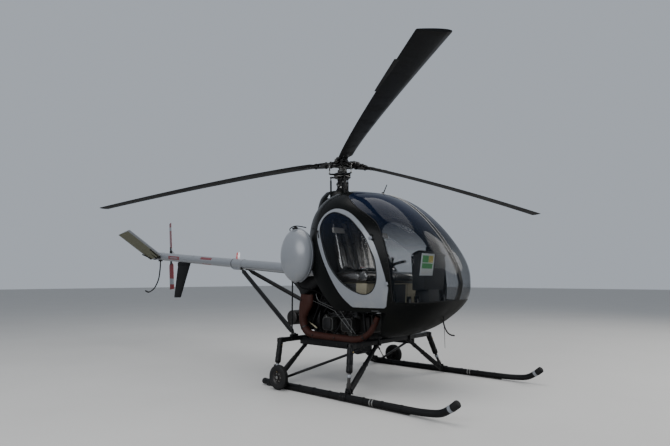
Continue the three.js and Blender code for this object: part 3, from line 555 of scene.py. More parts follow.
def turned(profile, origin=(0, 0, 0), axis=(0, 0, 1), sides=32, closed=False):  # (radius, height) pairs spun round
    shape = bmesh.new()
    verts = [shape.verts.new((radius, 0, height)) for radius, height in profile]
    edges = [shape.edges.new(pair) for pair in zip(verts, verts[1:] + (verts[:1] if closed else []))]
    bmesh.ops.spin(shape, geom=verts + edges, cent=(0, 0, 0), axis=(0, 0, 1), dvec=(0, 0, 0), angle=tau,
        steps=sides, use_merge=True, use_duplicate=False)
    bmesh.ops.remove_doubles(shape, verts=shape.verts, dist=1e-6)
    bmesh.ops.recalc_face_normals(shape, faces=shape.faces)
    turn = Vector(axis).to_track_quat("Z", "Y").to_matrix().to_4x4()
    moved(shape, shifted(origin) @ turn)
    return shape


def ringShape(origin, axis, radius, thickness, sides=32, around=10, flat=1.0):  # a torus
    profile = [(radius + u * thickness, v * thickness * flat) for u, v in circle(around)]
    return turned(profile, origin, axis, sides, closed=True)


def softened(shape, width=0.002, segments=2, angle=35):
    edges = [e for e in shape.edges if len(e.link_faces) == 2 and e.calc_face_angle(0) > radians(angle)]
    bmesh.ops.bevel(shape, geom=edges, offset=width, offset_type="OFFSET", segments=segments, profile=0.5,
        material=-1, affect="EDGES", clamp_overlap=True)
    return shape


def bolt(point, axis, radius, rise=0.6):  # washer and hexagon head, standing on its point
    point, axis = Vector(point), Vector(axis).normalized()
    shape = rod(point - axis * radius * 0.3, point + axis * radius * 0.25, radius * 1.5, sides=12)
    head = rod(point, point + axis * radius * (0.25 + rise), radius, radius * 0.92, 6)
    joined(shape, head)
    return shape


def meshOf(name, shape):
    mesh = bpy.data.meshes.new(name)
    shape.to_mesh(mesh)
    return mesh


def standing(name, data):  # a new object, put in the scene
    made = bpy.data.objects.new(name, data)
    bpy.context.scene.collection.objects.link(made)
    return made


def joined(shape, *others):
    for other in others:
        mesh = meshOf("joining", other)
        other.free()
        shape.from_mesh(mesh)
        bpy.data.meshes.remove(mesh)
    return shape


def carve(shape, tool, operation="DIFFERENCE"):  # shape with the tool's room taken off, or only what they share
    objects = [standing(name, meshOf(name, part)) for name, part in (("carved", shape), ("carver", tool))]
    modifier = objects[0].modifiers.new("carve", "BOOLEAN")
    modifier.operation = operation
    modifier.solver = "MANIFOLD"
    modifier.object = objects[1]
    made = bpy.data.meshes.new_from_object(objects[0].evaluated_get(bpy.context.evaluated_depsgraph_get()))
    result = bmesh.new()
    result.from_mesh(made)
    bpy.data.meshes.remove(made)
    for item in objects:
        mesh = item.data
        bpy.data.objects.remove(item)
        bpy.data.meshes.remove(mesh)
    if not result.faces:
        print("carve left nothing")
    return result


class Piece:
    def __init__(self, name, finish, body="airframe", side=1):  # side -1 mirrors what is drawn for port
        self.name = name
        self.body = body
        self.finishes = [finish]
        self.mesh = bmesh.new()
        self.spot = mirrored(side)  # where the next shapes are put

    def add(self, shape, finish=None):
        finish = finish or self.finishes[0]
        if finish not in self.finishes:
            self.finishes.append(finish)
        index = self.finishes.index(finish)
        for face in shape.faces:
            face.material_index = index
        moved(shape, self.spot)
        if self.spot.determinant() < 0:
            bmesh.ops.reverse_faces(shape, faces=shape.faces)
        joined(self.mesh, shape)
        return self

    def box(self, low, high, edge, finish=None, segments=2, turn=None):  # a block with rounded edges
        self.add(softened(block(low, high, turn), edge, segments), finish)

    def rod(self, start, end, radius, sides=16, finish=None, endRadius=None):
        self.add(rod(start, end, radius, endRadius, sides), finish)

    def tube(self, points, radius, sides=12, finish=None, **form):
        self.add(tube(points, radius, sides, **form), finish)

    def turned(self, profile, origin=(0, 0, 0), axis=(0, 0, 1), sides=32, finish=None, closed=False):
        self.add(turned(profile, origin, axis, sides, closed), finish)

    def hoop(self, profile, origin=(0, 0, 0), axis=(0, 0, 1), sides=32, finish=None):  # a profile closed on itself
        self.turned(profile, origin, axis, sides, finish, True)

    def band(self, inner, outer, low, high, *placing):  # a hoop with a plain rectangle for its profile
        self.hoop([(inner, low), (outer, low), (outer, high), (inner, high)], *placing)

    def bolt(self, point, axis, radius, finish=None):
        self.add(bolt(point, axis, radius), finish)

    def done(self, replaced=(), smooth=32):
        bmesh.ops.translate(self.mesh, verts=self.mesh.verts, vec=mastAxis)
        mesh = meshOf(self.name, self.mesh)
        self.mesh.free()
        for finish in self.finishes:
            mesh.materials.append(finish.material)
        mesh.shade_smooth()
        mesh.set_sharp_from_angle(angle=radians(smooth))
        made = standing(self.name, mesh)
        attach(made, self.body)
        if replaced:
            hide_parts(*replaced)
        return made


# Camera, floor and light
photoFrame = {"width": 670, "focal": 484.386}
eye = {"place": (3.973, -4.703, 1.17), "yaw": 131.05, "pitch": 6.61}


def standCamera():
    data = bpy.data.cameras.new("camera")
    data.sensor_width = 36
    data.lens = photoFrame["focal"] * data.sensor_width / photoFrame["width"]
    data.clip_start = 0.05
    data.clip_end = 300
    camera = standing("camera", data)
    yaw, pitch = radians(eye["yaw"]), radians(eye["pitch"])
    ahead = vec(cos(yaw) * cos(pitch), sin(yaw) * cos(pitch), sin(pitch))
    camera.rotation_euler = ahead.to_track_quat("-Z", "Y").to_euler()
    camera.location = mastAxis + Vector(eye["place"])
    bpy.context.scene.camera = camera


studio = {
    "world": (0.66, 0.72, 0.8), "worldPower": 0.62, "floorSize": 60.0,
    "lamps": [  # name, place about the mast, size, power, colour
        ("overhead", (0.5, -0.5, 9.0), (10, 8), 560, (1.0, 0.99, 0.97)),
        ("portKey", (6.2, 7.8, 6.6), (8, 7), 470, (1.0, 0.97, 0.92)),
        ("sideFill", (1.0, -10.0, 4.5), (9, 5), 620, (0.94, 0.97, 1.0)),
        ("noseFill", (9.0, 1.5, 5.5), (6, 3), 260, (0.95, 0.98, 1.0)),
    ],
}


def lightStudio():
    world = bpy.data.worlds.new("studio")
    world.use_nodes = True
    background = world.node_tree.nodes["Background"]
    background.inputs["Color"].default_value = (*studio["world"], 1)
    background.inputs["Strength"].default_value = studio["worldPower"]
    bpy.context.scene.world = world
    for name, place, (width, height), power, colour in studio["lamps"]:
        data = bpy.data.lights.new(name, "AREA")
        data.shape = "ELLIPSE"
        data.size, data.size_y = width, height
        data.energy = power
        data.color = colour
        lamp = standing(name, data)
        lamp.location = mastAxis + Vector(place)
        aim = mastAxis + vec(0, 0, 1.2) - lamp.location
        lamp.rotation_euler = aim.to_track_quat("-Z", "Y").to_euler()


def layFloor():
    ground = bmesh.new()
    bmesh.ops.create_grid(ground, x_segments=6, y_segments=6, size=studio["floorSize"])
    plane = standing("studio_floor", meshOf("studio_floor", ground))
    ground.free()
    plane.data.materials.append(floorPaint.material)


standCamera()
lightStudio()
layFloor()
print("camera, lights and floor set")


# Cabin: one egg-shaped hull, hollowed and cut for the doors, the windscreen and the engine bay
cabin = {
    "sections": [  # x, top, bottom, half width, from the tail forward
        (-0.292, 1.58, 1.57, 0.01), (-0.27, 1.7, 1.45, 0.3), (-0.245, 1.86, 1.29, 0.35),
        (-0.2, 1.97, 1.16, 0.4), (-0.08, 2.12, 0.96, 0.5), (0.1, 2.215, 0.7, 0.595),
        (0.3, 2.238, 0.56, 0.645), (0.55, 2.205, 0.512, 0.66), (0.8, 2.14, 0.513, 0.65),
        (1.02, 2.015, 0.562, 0.61), (1.22, 1.84, 0.643, 0.56), (1.39, 1.64, 0.755, 0.5),
        (1.51, 1.46, 0.86, 0.425), (1.585, 1.31, 0.965, 0.3), (1.615, 1.205, 1.06, 0.15),
        (1.63, 1.135, 1.13, 0.005)],
    "squareness": 2.9, "around": 112, "perSpan": 5,
    "wall": 0.02, "glass": 0.006, "strip": 0.03, "doorGap": 0.006, "doorFrom": 0.25, "windowFrom": 0.2,
    "bay": [(-0.4, 1.612), (0.39, 0.822), (1.04, 0.822), (0.87, 0.595), (0.7, 0.47), (0.6, 0.2),
            (-0.4, 0.2)],
    "doorBottom": [(0.665, 0.871), (1.035, 0.871)],
    "doorEdge": [
        (1.062, 0.89), (1.104, 1.066), (1.09, 1.126), (1.046, 1.29), (0.963, 1.521), (0.87, 1.666),
        (0.741, 1.803), (0.575, 1.917), (0.387, 1.97), (0.235, 1.927), (0.134, 1.819), (0.116, 1.717),
        (0.146, 1.586), (0.28, 1.334), (0.486, 1.027), (0.64, 0.884)],
    "window": [
        (0.384, 1.926), (0.243, 1.884), (0.178, 1.78), (0.194, 1.676), (0.31, 1.4), (0.428, 1.235),
        (0.577, 1.107), (0.73, 1.031), (0.841, 1.01), (0.928, 1.05), (0.98, 1.17), (0.966, 1.352),
        (0.916, 1.476), (0.84, 1.62), (0.735, 1.737), (0.597, 1.847)],
    "screenPost": [
        (0.462, 2.12), (0.577, 2.03), (0.722, 1.93), (0.946, 1.773), (1.049, 1.574), (1.111, 1.345),
        (1.139, 1.111), (1.144, 0.94)],
    "screenSill": [(1.308, 0.93), (1.476, 0.938), (1.572, 0.952), (1.75, 0.985)],
    "screenTop": (0.455, 2.4), "screenCorner": (1.75, 2.4),
    "inside": 0.93,  # how far towards the skin a face lies before it counts as outside
}
hullRun = smoothed(cabin["sections"], cabin["perSpan"])


def squircle(count):
    power = 2 / cabin["squareness"]
    return [tuple(copysign(abs(value) ** power, value) for value in point) for point in circle(count, 0.5)]


def hullLoft(inset=0.0):
    low, high = hullRun[0][0], hullRun[-1][0]
    middle, shrink = (low + high) / 2, (high - low - 2 * inset) / (high - low)
    places = []
    for x, top, bottom, half in hullRun:
        width, height = half - inset, (top - bottom) / 2 - inset
        if min(width, height) > (0.004 if inset else 0):
            ahead = middle + (x - middle) * shrink
            places.append(placedAt((ahead, 0, (top + bottom) / 2), (0, width, 0), (0, 0, height), (1, 0, 0)))
    return loft(squircle(cabin["around"]), places)


def hullAt(x):  # top, bottom and half width of the hull at x
    for before, after in zip(hullRun, hullRun[1:]):
        if before[0] <= x <= after[0]:
            share = (x - before[0]) / max(after[0] - before[0], 1e-9)
            return tuple(before.lerp(after, share))[1:]
    return tuple(hullRun[0 if x < hullRun[0][0] else -1])[1:]


def hullShare(point):  # 1 on the skin, less inside it
    top, bottom, half = hullAt(point[0])
    across, upward = abs(point[1]) / half, abs(point[2] - (top + bottom) / 2) / ((top - bottom) / 2)
    return across ** cabin["squareness"] + upward ** cabin["squareness"]


def hullFall(share):  # what is left of the hull's reach one way at this share of its reach the other way
    return (1 - share ** cabin["squareness"]) ** (1 / cabin["squareness"])


def onHull(x, z, side, lift=0.0):  # the skin's point at this side view place, lifted off along its normal
    top, bottom, half = hullAt(x)
    upward = min(abs(z - (top + bottom) / 2) / ((top - bottom) / 2), 1.0)
    point = vec(x, half * hullFall(upward), z)
    return vec(point.x, point.y * side, point.z) + hullNormal(point, side) * lift


def hullNormal(point, side):
    step = 0.004
    moves = (vec(step, 0, 0), vec(0, step, 0), vec(0, 0, step))
    slopes = [hullShare(point + move) - hullShare(point - move) for move in moves]
    return vec(slopes[0], slopes[1] * side, slopes[2]).normalized()


def alongHull(outline, side, lift=0.0):
    return [onHull(point[0], point[1], side, lift) for point in outline]


doorOutline = [Vector(point) for point in cabin["doorBottom"]] + smoothed(cabin["doorEdge"], 4)
windowOutline = spaced(smoothed(cabin["window"], 8, closed=True), 90, closed=True)
screenPost = smoothed(cabin["screenPost"], 5)
screenSill = smoothed(cabin["screenSill"], 4)
screenOutline = screenPost + screenSill + [Vector(cabin["screenCorner"]), Vector(cabin["screenTop"])]


def sidePrism(outline, side, inboard):
    return prism(outline, -1.0, -inboard) if side < 0 else prism(outline, inboard, 1.0)


def repainted(piece, finish, test):  # another finish on the faces whose middle passes the test
    if finish not in piece.finishes:
        piece.finishes.append(finish)
    for face in piece.mesh.faces:
        if test(face.calc_center_median(), face.normal):
            face.material_index = piece.finishes.index(finish)


def buildCabin():
    wall = cabin["wall"]
    room = carve(hullLoft(wall), prism(grownOutline(cabin["bay"], wall), -1, 1))
    shell = carve(hullLoft(), room)
    shell = carve(shell, prism(cabin["bay"], -1, 1))
    shell = carve(shell, rod((0, 0, 1.0), (0, 0, 2.6), 0.0605, sides=32))
    for side in (-1, 1):
        shell = carve(shell, sidePrism(grownOutline(doorOutline, cabin["doorGap"]), side, cabin["doorFrom"]))
        shell = carve(shell, sidePrism(screenOutline, side, cabin["strip"]))
    piece = Piece("cabin_shell", blackPaint)
    piece.add(shell)
    repainted(piece, darkTrim, lambda middle, normal: hullShare(middle) < cabin["inside"] and middle.z > 0.83)
    repainted(piece, gearPaint, lambda middle, normal: hullShare(middle) < cabin["inside"] and middle.z <= 0.83)
    piece.done(("belly_pan", "canopy_frame"), 30)


def buildScreens():
    glassSkin = carve(hullLoft(), hullLoft(cabin["glass"]))
    for name, side in sides:
        pane = Piece(f"screen_pane_{name}", screenGlass)
        tight = grownOutline(screenOutline, -0.0004)
        pane.add(carve(glassSkin, sidePrism(tight, side, cabin["strip"] + 0.0004), "INTERSECT"))
        pane.done((f"windscreen_{name}",), 30)
        pane = Piece(f"door_pane_{name}", doorGlass, f"door_{name}")
        tight = grownOutline(windowOutline, -0.0004)
        pane.add(carve(glassSkin, sidePrism(tight, side, cabin["doorFrom"]), "INTERSECT"))
        pane.done((f"door_glass_{name}",), 30)


hinge = {"low": (1.13, 0.6, 1.066), "high": (0.905, 0.63, 1.666), "places": (0.1, 0.9), "radius": 0.008,
    "half": 0.016, "reach": 0.034, "leaf": 0.04, "postLeaf": 0.02}


def hingeParts(side, onDoor):  # two knuckles on one slanted pin, with their leaves
    low, high = (vec(p[0], p[1] * side, p[2]) for p in (hinge["low"], hinge["high"]))
    pin = (high - low).normalized()
    outboard = (vec(0, side, 0) - pin * pin.y * side).normalized()
    forward = outboard.cross(pin)
    forward = forward if forward.x > 0 else -forward
    parts = []
    for share in hinge["places"]:
        centre = low.lerp(high, share)
        frame = placedAt(centre, pin, forward, outboard)
        if onDoor:
            spans = [(-hinge["half"], hinge["half"])]
            leafAcross = (-hinge["leaf"], -0.002)
        else:
            spans = [(hinge["half"] + 0.0005, hinge["reach"]), (-hinge["reach"], -hinge["half"] - 0.0005)]
            leafAcross = (0.002, hinge["postLeaf"])
        for start, end in spans:
            parts.append(softened(rod(centre + pin * start, centre + pin * end, hinge["radius"]), 0.0012))
            leaf = block((start, leafAcross[0], -0.004), (end, leafAcross[1], 0.001), frame)
            parts.append(softened(leaf, 0.0015))
        if onDoor:
            for along in (-0.009, 0.009):
                for across in (-0.016, -0.031):
                    spot = centre + pin * along + forward * across + outboard * 0.001
                    parts.append(rod(spot, spot + outboard * 0.0015, 0.0034, sides=10))
    return parts


def buildDoors():
    skin = carve(hullLoft(), hullLoft(cabin["wall"]))
    for name, side in sides:
        door = Piece(f"door_ring_{name}", doorPaint, f"door_{name}")
        panel = carve(skin, sidePrism(doorOutline, side, cabin["doorFrom"]), "INTERSECT")
        door.add(carve(panel, sidePrism(windowOutline, side, cabin["windowFrom"])))
        repainted(door, darkTrim, lambda middle, normal: hullShare(middle) < 0.94)
        door.done((f"door_{name}",), 30)
        trim = Piece(f"door_trim_{name}", sealRubber, f"door_{name}")
        trim.tube(alongHull(windowOutline, side, 0.0005), 0.0052, 8, closed=True)
        trim.tube(alongHull(grownOutline(windowOutline, 0.01), side, -0.021), 0.008, 8, closed=True)
        for part in hingeParts(side, True):
            trim.add(part, doorPaint)
        for x, z in ((0.128, 1.716), (0.134, 1.676)):  # latch plate at the door's rear edge
            spot = onHull(x + 0.014, z, side)
            out = hullNormal(vec(x, abs(spot.y), z), side)
            trim.rod(spot, spot + out * 0.004, 0.01, 20, steel)
        start, end = onHull(0.146, 1.722, side, 0.012), onHull(0.172, 1.64, side, 0.012)
        trim.tube(smoothed([onHull(0.146, 1.722, side), start, end], 6), 0.0055, 10, headPaint)
        trim.done(smooth=40)


def buildCabinTrim():
    trim = Piece("cabin_trim", sealRubber)
    for side in (-1, 1):
        trim.tube(alongHull(screenPost, side), 0.0055, 8)
        low = [point for point in screenSill if hullAt(point[0])[2] > 0.05 and point[0] < 1.6]
        trim.tube(alongHull(low, side), 0.0055, 8)
        strip = []
        for x, top, bottom, half in hullRun:
            if 0.56 < x < 1.52:
                strip.append((x, 0.036 * side, (top + bottom) / 2 + (top - bottom) / 2 * hullFall(0.036 / half)))
        trim.tube(strip, 0.0034, 8, steel)
        gapLine = grownOutline(doorOutline, 0.003)
        trim.tube(alongHull(gapLine, side, -0.01), 0.0045, 8, closed=True)
        outline = grownOutline(screenOutline, 0.02)
        for point in spaced([Vector(p) for p in outline[4:len(screenPost) + len(low)]], 32):
            spot = onHull(point[0], point[1], side, 0.0008)
            out = hullNormal(vec(spot.x, abs(spot.y), spot.z), side)
            trim.rod(spot - out * 0.001, spot + out * 0.0012, 0.0042, 10, darkSteel, endRadius=0.0026)
        for part in hingeParts(side, False):
            trim.add(part, blackPaint)
        plate = [(0.89, 0.832), (0.982, 0.832), (0.982, 0.846), (0.89, 0.846)]
        low, high = onHull(0.89, 0.846, side), onHull(0.982, 0.832, side)
        trim.add(softened(prism(plate, min(low.y, high.y) - 0.003, max(low.y, high.y) + 0.003), 0.002), stepTone)
    trim.tube(smoothed([(0.638, 0, 2.17), (0.655, 0, 2.205), (0.7, 0, 2.29)], 6), lambda s: 0.0085 - 0.004 * s, 10)
    trim.turned([(0.0, 0.02), (0.01, 0.018), (0.02, 0.004), (0.024, -0.01), (0.0, -0.01)], (0.638, 0, 2.188))
    trim.done(smooth=40)


buildCabin()
buildScreens()
buildDoors()
buildCabinTrim()
print("cabin built")


# Tail boom, its stays and everything that hangs on its end
boom = {"front": (-0.33, 0, 1.27), "rear": (-4.57, 0, 1.603), "radius": 0.07, "bands": (-0.46, -4.46),
    "clamp": (-2.215, -1.96), "rivets": 20}
boomFront, boomRear = Vector(boom["front"]), Vector(boom["rear"])
boomAlong = (boomRear - boomFront).normalized()


def onBoom(x, turn=None, lift=0.0):  # a point on the boom's axis, or on its skin at this turn from straight up
    centre = boomFront.lerp(boomRear, (x - boomFront.x) / (boomRear.x - boomFront.x))
    if turn is None:
        return centre
    upward = vec(0, 1, 0).cross(boomAlong).normalized()
    upward = upward if upward.z > 0 else -upward
    return centre + (upward * cos(turn) + vec(0, 1, 0) * sin(turn)) * (boom["radius"] + lift)


def boomBand(low, high, lift):  # a ring round the boom from x = low to x = high
    edge = 0.002
    inner = boom["radius"] - 0.004
    outer = boom["radius"] + lift
    length = (onBoom(high) - onBoom(low)).length
    profile = [(inner, 0), (outer - edge, 0), (outer, edge), (outer, length - edge), (outer - edge, length),
        (inner, length)]
    return turned(profile, onBoom(high), boomAlong, 48, closed=True)


def buildBoom():
    piece = Piece("boom_skin", boomPaint)
    radius = boom["radius"]
    length = (boomRear - boomFront).length
    profile = [(0.0, 0.0), (radius - 0.006, 0.0), (radius, 0.006)]
    profile += [(radius, length * part / 12) for part in range(1, 12)]
    profile += [(radius, length - 0.012), (radius - 0.004, length - 0.004), (radius - 0.014, length), (0.0, length)]
    piece.turned(profile, boomFront, boomAlong, 64)
    for x in boom["bands"]:
        piece.add(boomBand(x - 0.03, x + 0.03, 0.0012))
    piece.done(("tail_boom",), 30)
    trim = Piece("boom_fittings", headPaint)
    low, high = boom["clamp"]
    trim.add(boomBand(low, low + 0.014, 0.004), headPaint)
    trim.add(boomBand(low + 0.014, high, 0.0035), boomPaint)
    trim.add(boomBand(high - 0.016, high, 0.0055), boomPaint)
    for x in boom["bands"]:
        for edge in (-0.022, 0.022):
            for spot in range(boom["rivets"]):
                turn = spot / boom["rivets"] * tau
                point = onBoom(x + edge, turn, 0.001)
                out = (point - onBoom(x + edge)).normalized()
                trim.rod(point, point + out * 0.0012, 0.0032, 8, boomPaint, endRadius=0.0018)
    saddleLine = [(-2.26, 1.385), (-1.97, 1.362), (-1.975, 1.322), (-2.06, 1.31), (-2.17, 1.318), (-2.235, 1.345)]
    trim.add(softened(prism(saddleLine, -0.048, 0.048), 0.008, 3), tailPaint)
    for y in (-0.048, 0.048):
        for x, z in ((-2.19, 1.352), (-2.1, 1.34), (-2.01, 1.34)):
            trim.bolt((x, y, z), (0, y, 0), 0.006, steel)
    for x, turn in ((-0.66, 0.5), (-0.8, -0.5), (-2.62, 0.9), (-3.3, -0.6)):  # small access covers along the boom
        point = onBoom(x, turn, 0.0012)
        out = (point - onBoom(x)).normalized()
        trim.rod(point - out * 0.004, point + out * 0.0008, 0.021, 28, boomPaint)
    wires = [onBoom(-0.4, 2.75, 0.006), onBoom(-1.2, 2.8, 0.008), onBoom(-2.0, 2.72, 0.01)]
    trim.tube(smoothed(wires, 6), 0.005, 8, sealRubber)
    for x in (-0.55, -0.95):
        trim.add(boomBand(x - 0.006, x + 0.006, 0.0022), sealRubber)
    trim.done(smooth=40)


beacon = {"x": -2.134, "radius": 0.026, "foot": 1.452, "top": 1.588}


def buildBeacon():
    lamp = Piece("beacon_lamp", redPaint)
    x, radius, foot, top = (beacon[key] for key in ("x", "radius", "foot", "top"))
    lamp.turned([(0, foot - 0.047), (radius + 0.01, foot - 0.047), (radius + 0.01, foot + 0.012),
        (radius + 0.004, foot + 0.02), (0, foot + 0.02)], (x + 0.014, 0, 0), sides=40, finish=alloy)
    lamp.turned([(0, foot + 0.018), (radius, foot + 0.018), (radius, foot + 0.04), (radius - 0.003, top - 0.045),
        (radius - 0.008, top - 0.022), (radius - 0.02, top - 0.006), (0, top)], (x, 0, 0), sides=40)
    # a near-white lens on the dome's forward side: a painted highlight standing for the glint of light on the red
    # dome
    lamp.turned([(0, foot + 0.018), (0.017, foot + 0.018), (0.017, top - 0.016), (0.01, top - 0.004), (0, top)],
        (x + 0.034, 0, 0), sides=28, finish=glintLens)
    for u, v in circle(6):
        spot = (x + 0.014 + u * (radius + 0.006), v * (radius + 0.006), foot + 0.011)
        lamp.rod(spot, Vector(spot) + vec(0, 0, 0.004), 0.003, 8, steel)
    lamp.done(("beacon",), 35)


# a thin symmetric section of chord 1 from nose (0) to tail (-1), thickness 1
def wingOutline(count=14, blunt=0.012):
    upper = []
    for part in range(count + 1):
        share = (1 - cos(part / count * pi)) / 2
        rise = 2.969 * sqrt(share) - 1.26 * share - 3.516 * share ** 2 + 2.843 * share ** 3 - 1.015 * share ** 4
        upper.append((-share, rise * 0.5 + blunt * share))
    return upper + [(u, -v) for u, v in reversed(upper[1:])]


stabilizer = {"root": (-0.06, 1.597), "tip": (-0.7, 2.027), "leading": -4.3, "chord": 0.405, "drop": 0.065,
    "thickness": 0.027}


def buildStabilizer():
    wing = Piece("stabilizer_skin", tailPaint)
    root, tip = vec(0, *stabilizer["root"]), vec(0, *stabilizer["tip"])
    span = (tip - root).normalized()
    back = vec(stabilizer["chord"], 0, stabilizer["drop"])
    upward = span.cross(back).normalized()
    upward = upward if upward.z > 0 else -upward
    places = []
    for share, size in ((0, 1), (0.02, 1), (0.25, 1), (0.5, 1), (0.75, 1), (0.985, 1), (0.995, 0.985), (1, 0.96)):
        origin = root.lerp(tip, share) + vec(stabilizer["leading"], 0, 0) - back * (1 - size) / 2
        places.append(placedAt(origin, back * size, upward * stabilizer["thickness"] * (2 * size - 1), span))
    wing.add(loft(wingOutline(), places))

    def below(middle, normal):  # the underside inside its white rim, painted olive grey as shade and green bounce light
        share = (middle - root).dot(span) / (tip - root).length
        return normal.dot(upward) < -0.75 and 0.012 < share < 0.985 and -4.692 < middle.x < -4.34

    repainted(wing, stabShadeUnder, below)
    leading = vec(stabilizer["leading"] - 0.003, 0, 0)
    edge = [root.lerp(tip, share) + leading for share in (0.004, 0.25, 0.5, 0.75, 0.996)]
    wing.tube(edge, 0.0105, 12, boomPaint)  # bright strip along the leading edge
    for share in (0.14, 0.38, 0.62, 0.86):  # rib rivets
        for along in range(1, 11):
            point = root.lerp(tip, share) + vec(stabilizer["leading"], 0, 0) - back * along / 11.5
            for face in (1, -1):
                spot = point + upward * face * stabilizer["thickness"] * 0.34
                wing.rod(spot, spot + upward * face * 0.0055 * (1.3 - along / 11), 0.003, 8, endRadius=0.002)
    wing.done(("stabilizer",), 30)
    mount = Piece("stabilizer_mount", headPaint)
    mount.box((-4.5, -0.085, 1.548), (-4.33, -0.02, 1.6), 0.006)
    for x in (-4.475, -4.355):
        start = vec(x, -0.06, 1.545)
        mount.rod(start, (x - 0.01, -0.25, 1.7), 0.009, 12)
        mount.bolt((x, -0.09, 1.575), (0, -1, 0.2), 0.007, steel)
        mount.box((x - 0.016, -0.262, 1.688), (x + 0.01, -0.232, 1.722), 0.003)
    mount.tube(smoothed([(-4.62, -0.09, 1.545), (-4.66, -0.15, 1.585), (-4.665, -0.25, 1.625)], 5), 0.01, 10)
    mount.done(smooth=40)


fin = {"rear": ((-3.83, 1.48), (-3.925, 0.845)), "front": ((-3.43, 1.455), (-3.709, 0.85)), "thickness": 0.02}


def buildFin():
    blade = Piece("ventral_fin_skin", bladePaint)
    places = []
    for share, size in ((0, 1), (0.5, 1), (0.97, 1), (1, 0.94)):
        front, rear = (vec(top[0], 0, top[1]).lerp(vec(low[0], 0, low[1]), share)
            for top, low in (fin["front"], fin["rear"]))
        chord = (front - rear) * size
        places.append(placedAt(front - (front - rear) * (1 - size) / 2, chord, (0, fin["thickness"] * size, 0),
            (0, 0, -1)))
    blade.add(loft(wingOutline(12), places))
    for along in range(6):
        x = -3.525 - along * 0.052
        for y in (-0.016, 0.016):
            blade.bolt((x, y, 1.43), (0, y, 0), 0.0045, darkSteel)
    blade.box((-3.83, -0.016, 1.405), (-3.48, 0.016, 1.462), 0.004)
    blade.done(("ventral_fin",), 35)


def buildTailSkid():
    bar = Piece("tail_skid_bar", gearPaint)
    path = smoothed([(-4.447, 0, 1.525), (-4.452, 0, 1.34), (-4.499, 0, 1.154), (-4.636, 0, 0.999),
        (-4.83, 0, 0.925), (-4.955, 0, 0.948)], 8)
    bar.tube(path, lambda share: 0.0115 - 0.001 * share, 14)
    bar.tube([path[-9], path[-6], path[-3], path[-1]], 0.0135, 14, sealRubber)
    bar.add(ringShape(path[3], path[4] - path[3], 0.012, 0.004, 20, 8), steel)
    bar.box((-4.478, -0.028, 1.5), (-4.418, 0.028, 1.532), 0.004, headPaint)
    bar.done(("tail_skid",), 40)


tailUnit = {"x": -4.643, "z": 1.62, "hubY": 0.328, "caseRadius": 0.07, "tilt": -7.3, "radius": 0.648,
    "chord": 0.118, "thickness": 0.016, "pitch": 12}


def buildTailGearbox():
    case = Piece("tail_gear_case", alloy)
    x, z, r = tailUnit["x"], tailUnit["z"], tailUnit["caseRadius"]
    centre = (x, 0, z - 0.01)
    case.turned([(0, -0.066), (0.03, -0.064), (0.052, -0.056), (r, -0.04), (r, 0.05), (r - 0.01, 0.066),
        (0.052, 0.085), (0.04, 0.108), (0.0, 0.108)], centre, (0, 1, 0), 40)
    case.turned([(0.03, 0.06), (0.048, 0.062), (0.048, 0.072), (0.034, 0.08), (0.032, 0.15), (0.03, 0.225),
        (0.036, 0.229), (0.036, 0.24), (0.024, 0.244), (0.024, 0.262), (0, 0.262)], (x, 0.02, z), (0, 1, 0), 32,
        greyCase)
    for spot in range(8):  # cooling ribs and flange nuts
        angle = spot / 8 * tau
        out = vec(cos(angle), 0, sin(angle))
        case.box((-0.003, -0.036, 0.0), (0.003, 0.046, r + 0.006), 0.0015,
            turn=shifted(centre) @ Matrix.Rotation(-angle + pi / 2, 4, "Y"))
        case.bolt(Vector(centre) + out * 0.048 + vec(0, 0.084, 0), (0, 1, 0), 0.0048, steel)
    case.box((-4.6, -0.045, 1.54), (-4.56, 0.045, 1.65), 0.006, headPaint)
    case.turned([(0, 0), (0.012, 0), (0.012, 0.016), (0.008, 0.02), (0, 0.02)], (x, 0.01, z + 0.058), (0, 0, 1), 20,
        brass)
    control = [(-4.56, 0.075, 1.655), (-4.6, 0.12, 1.668), (-4.64, 0.185, 1.668)]
    case.tube(smoothed(control, 5), 0.006, 10, steel)
    case.done(("tail_gearbox",), 35)


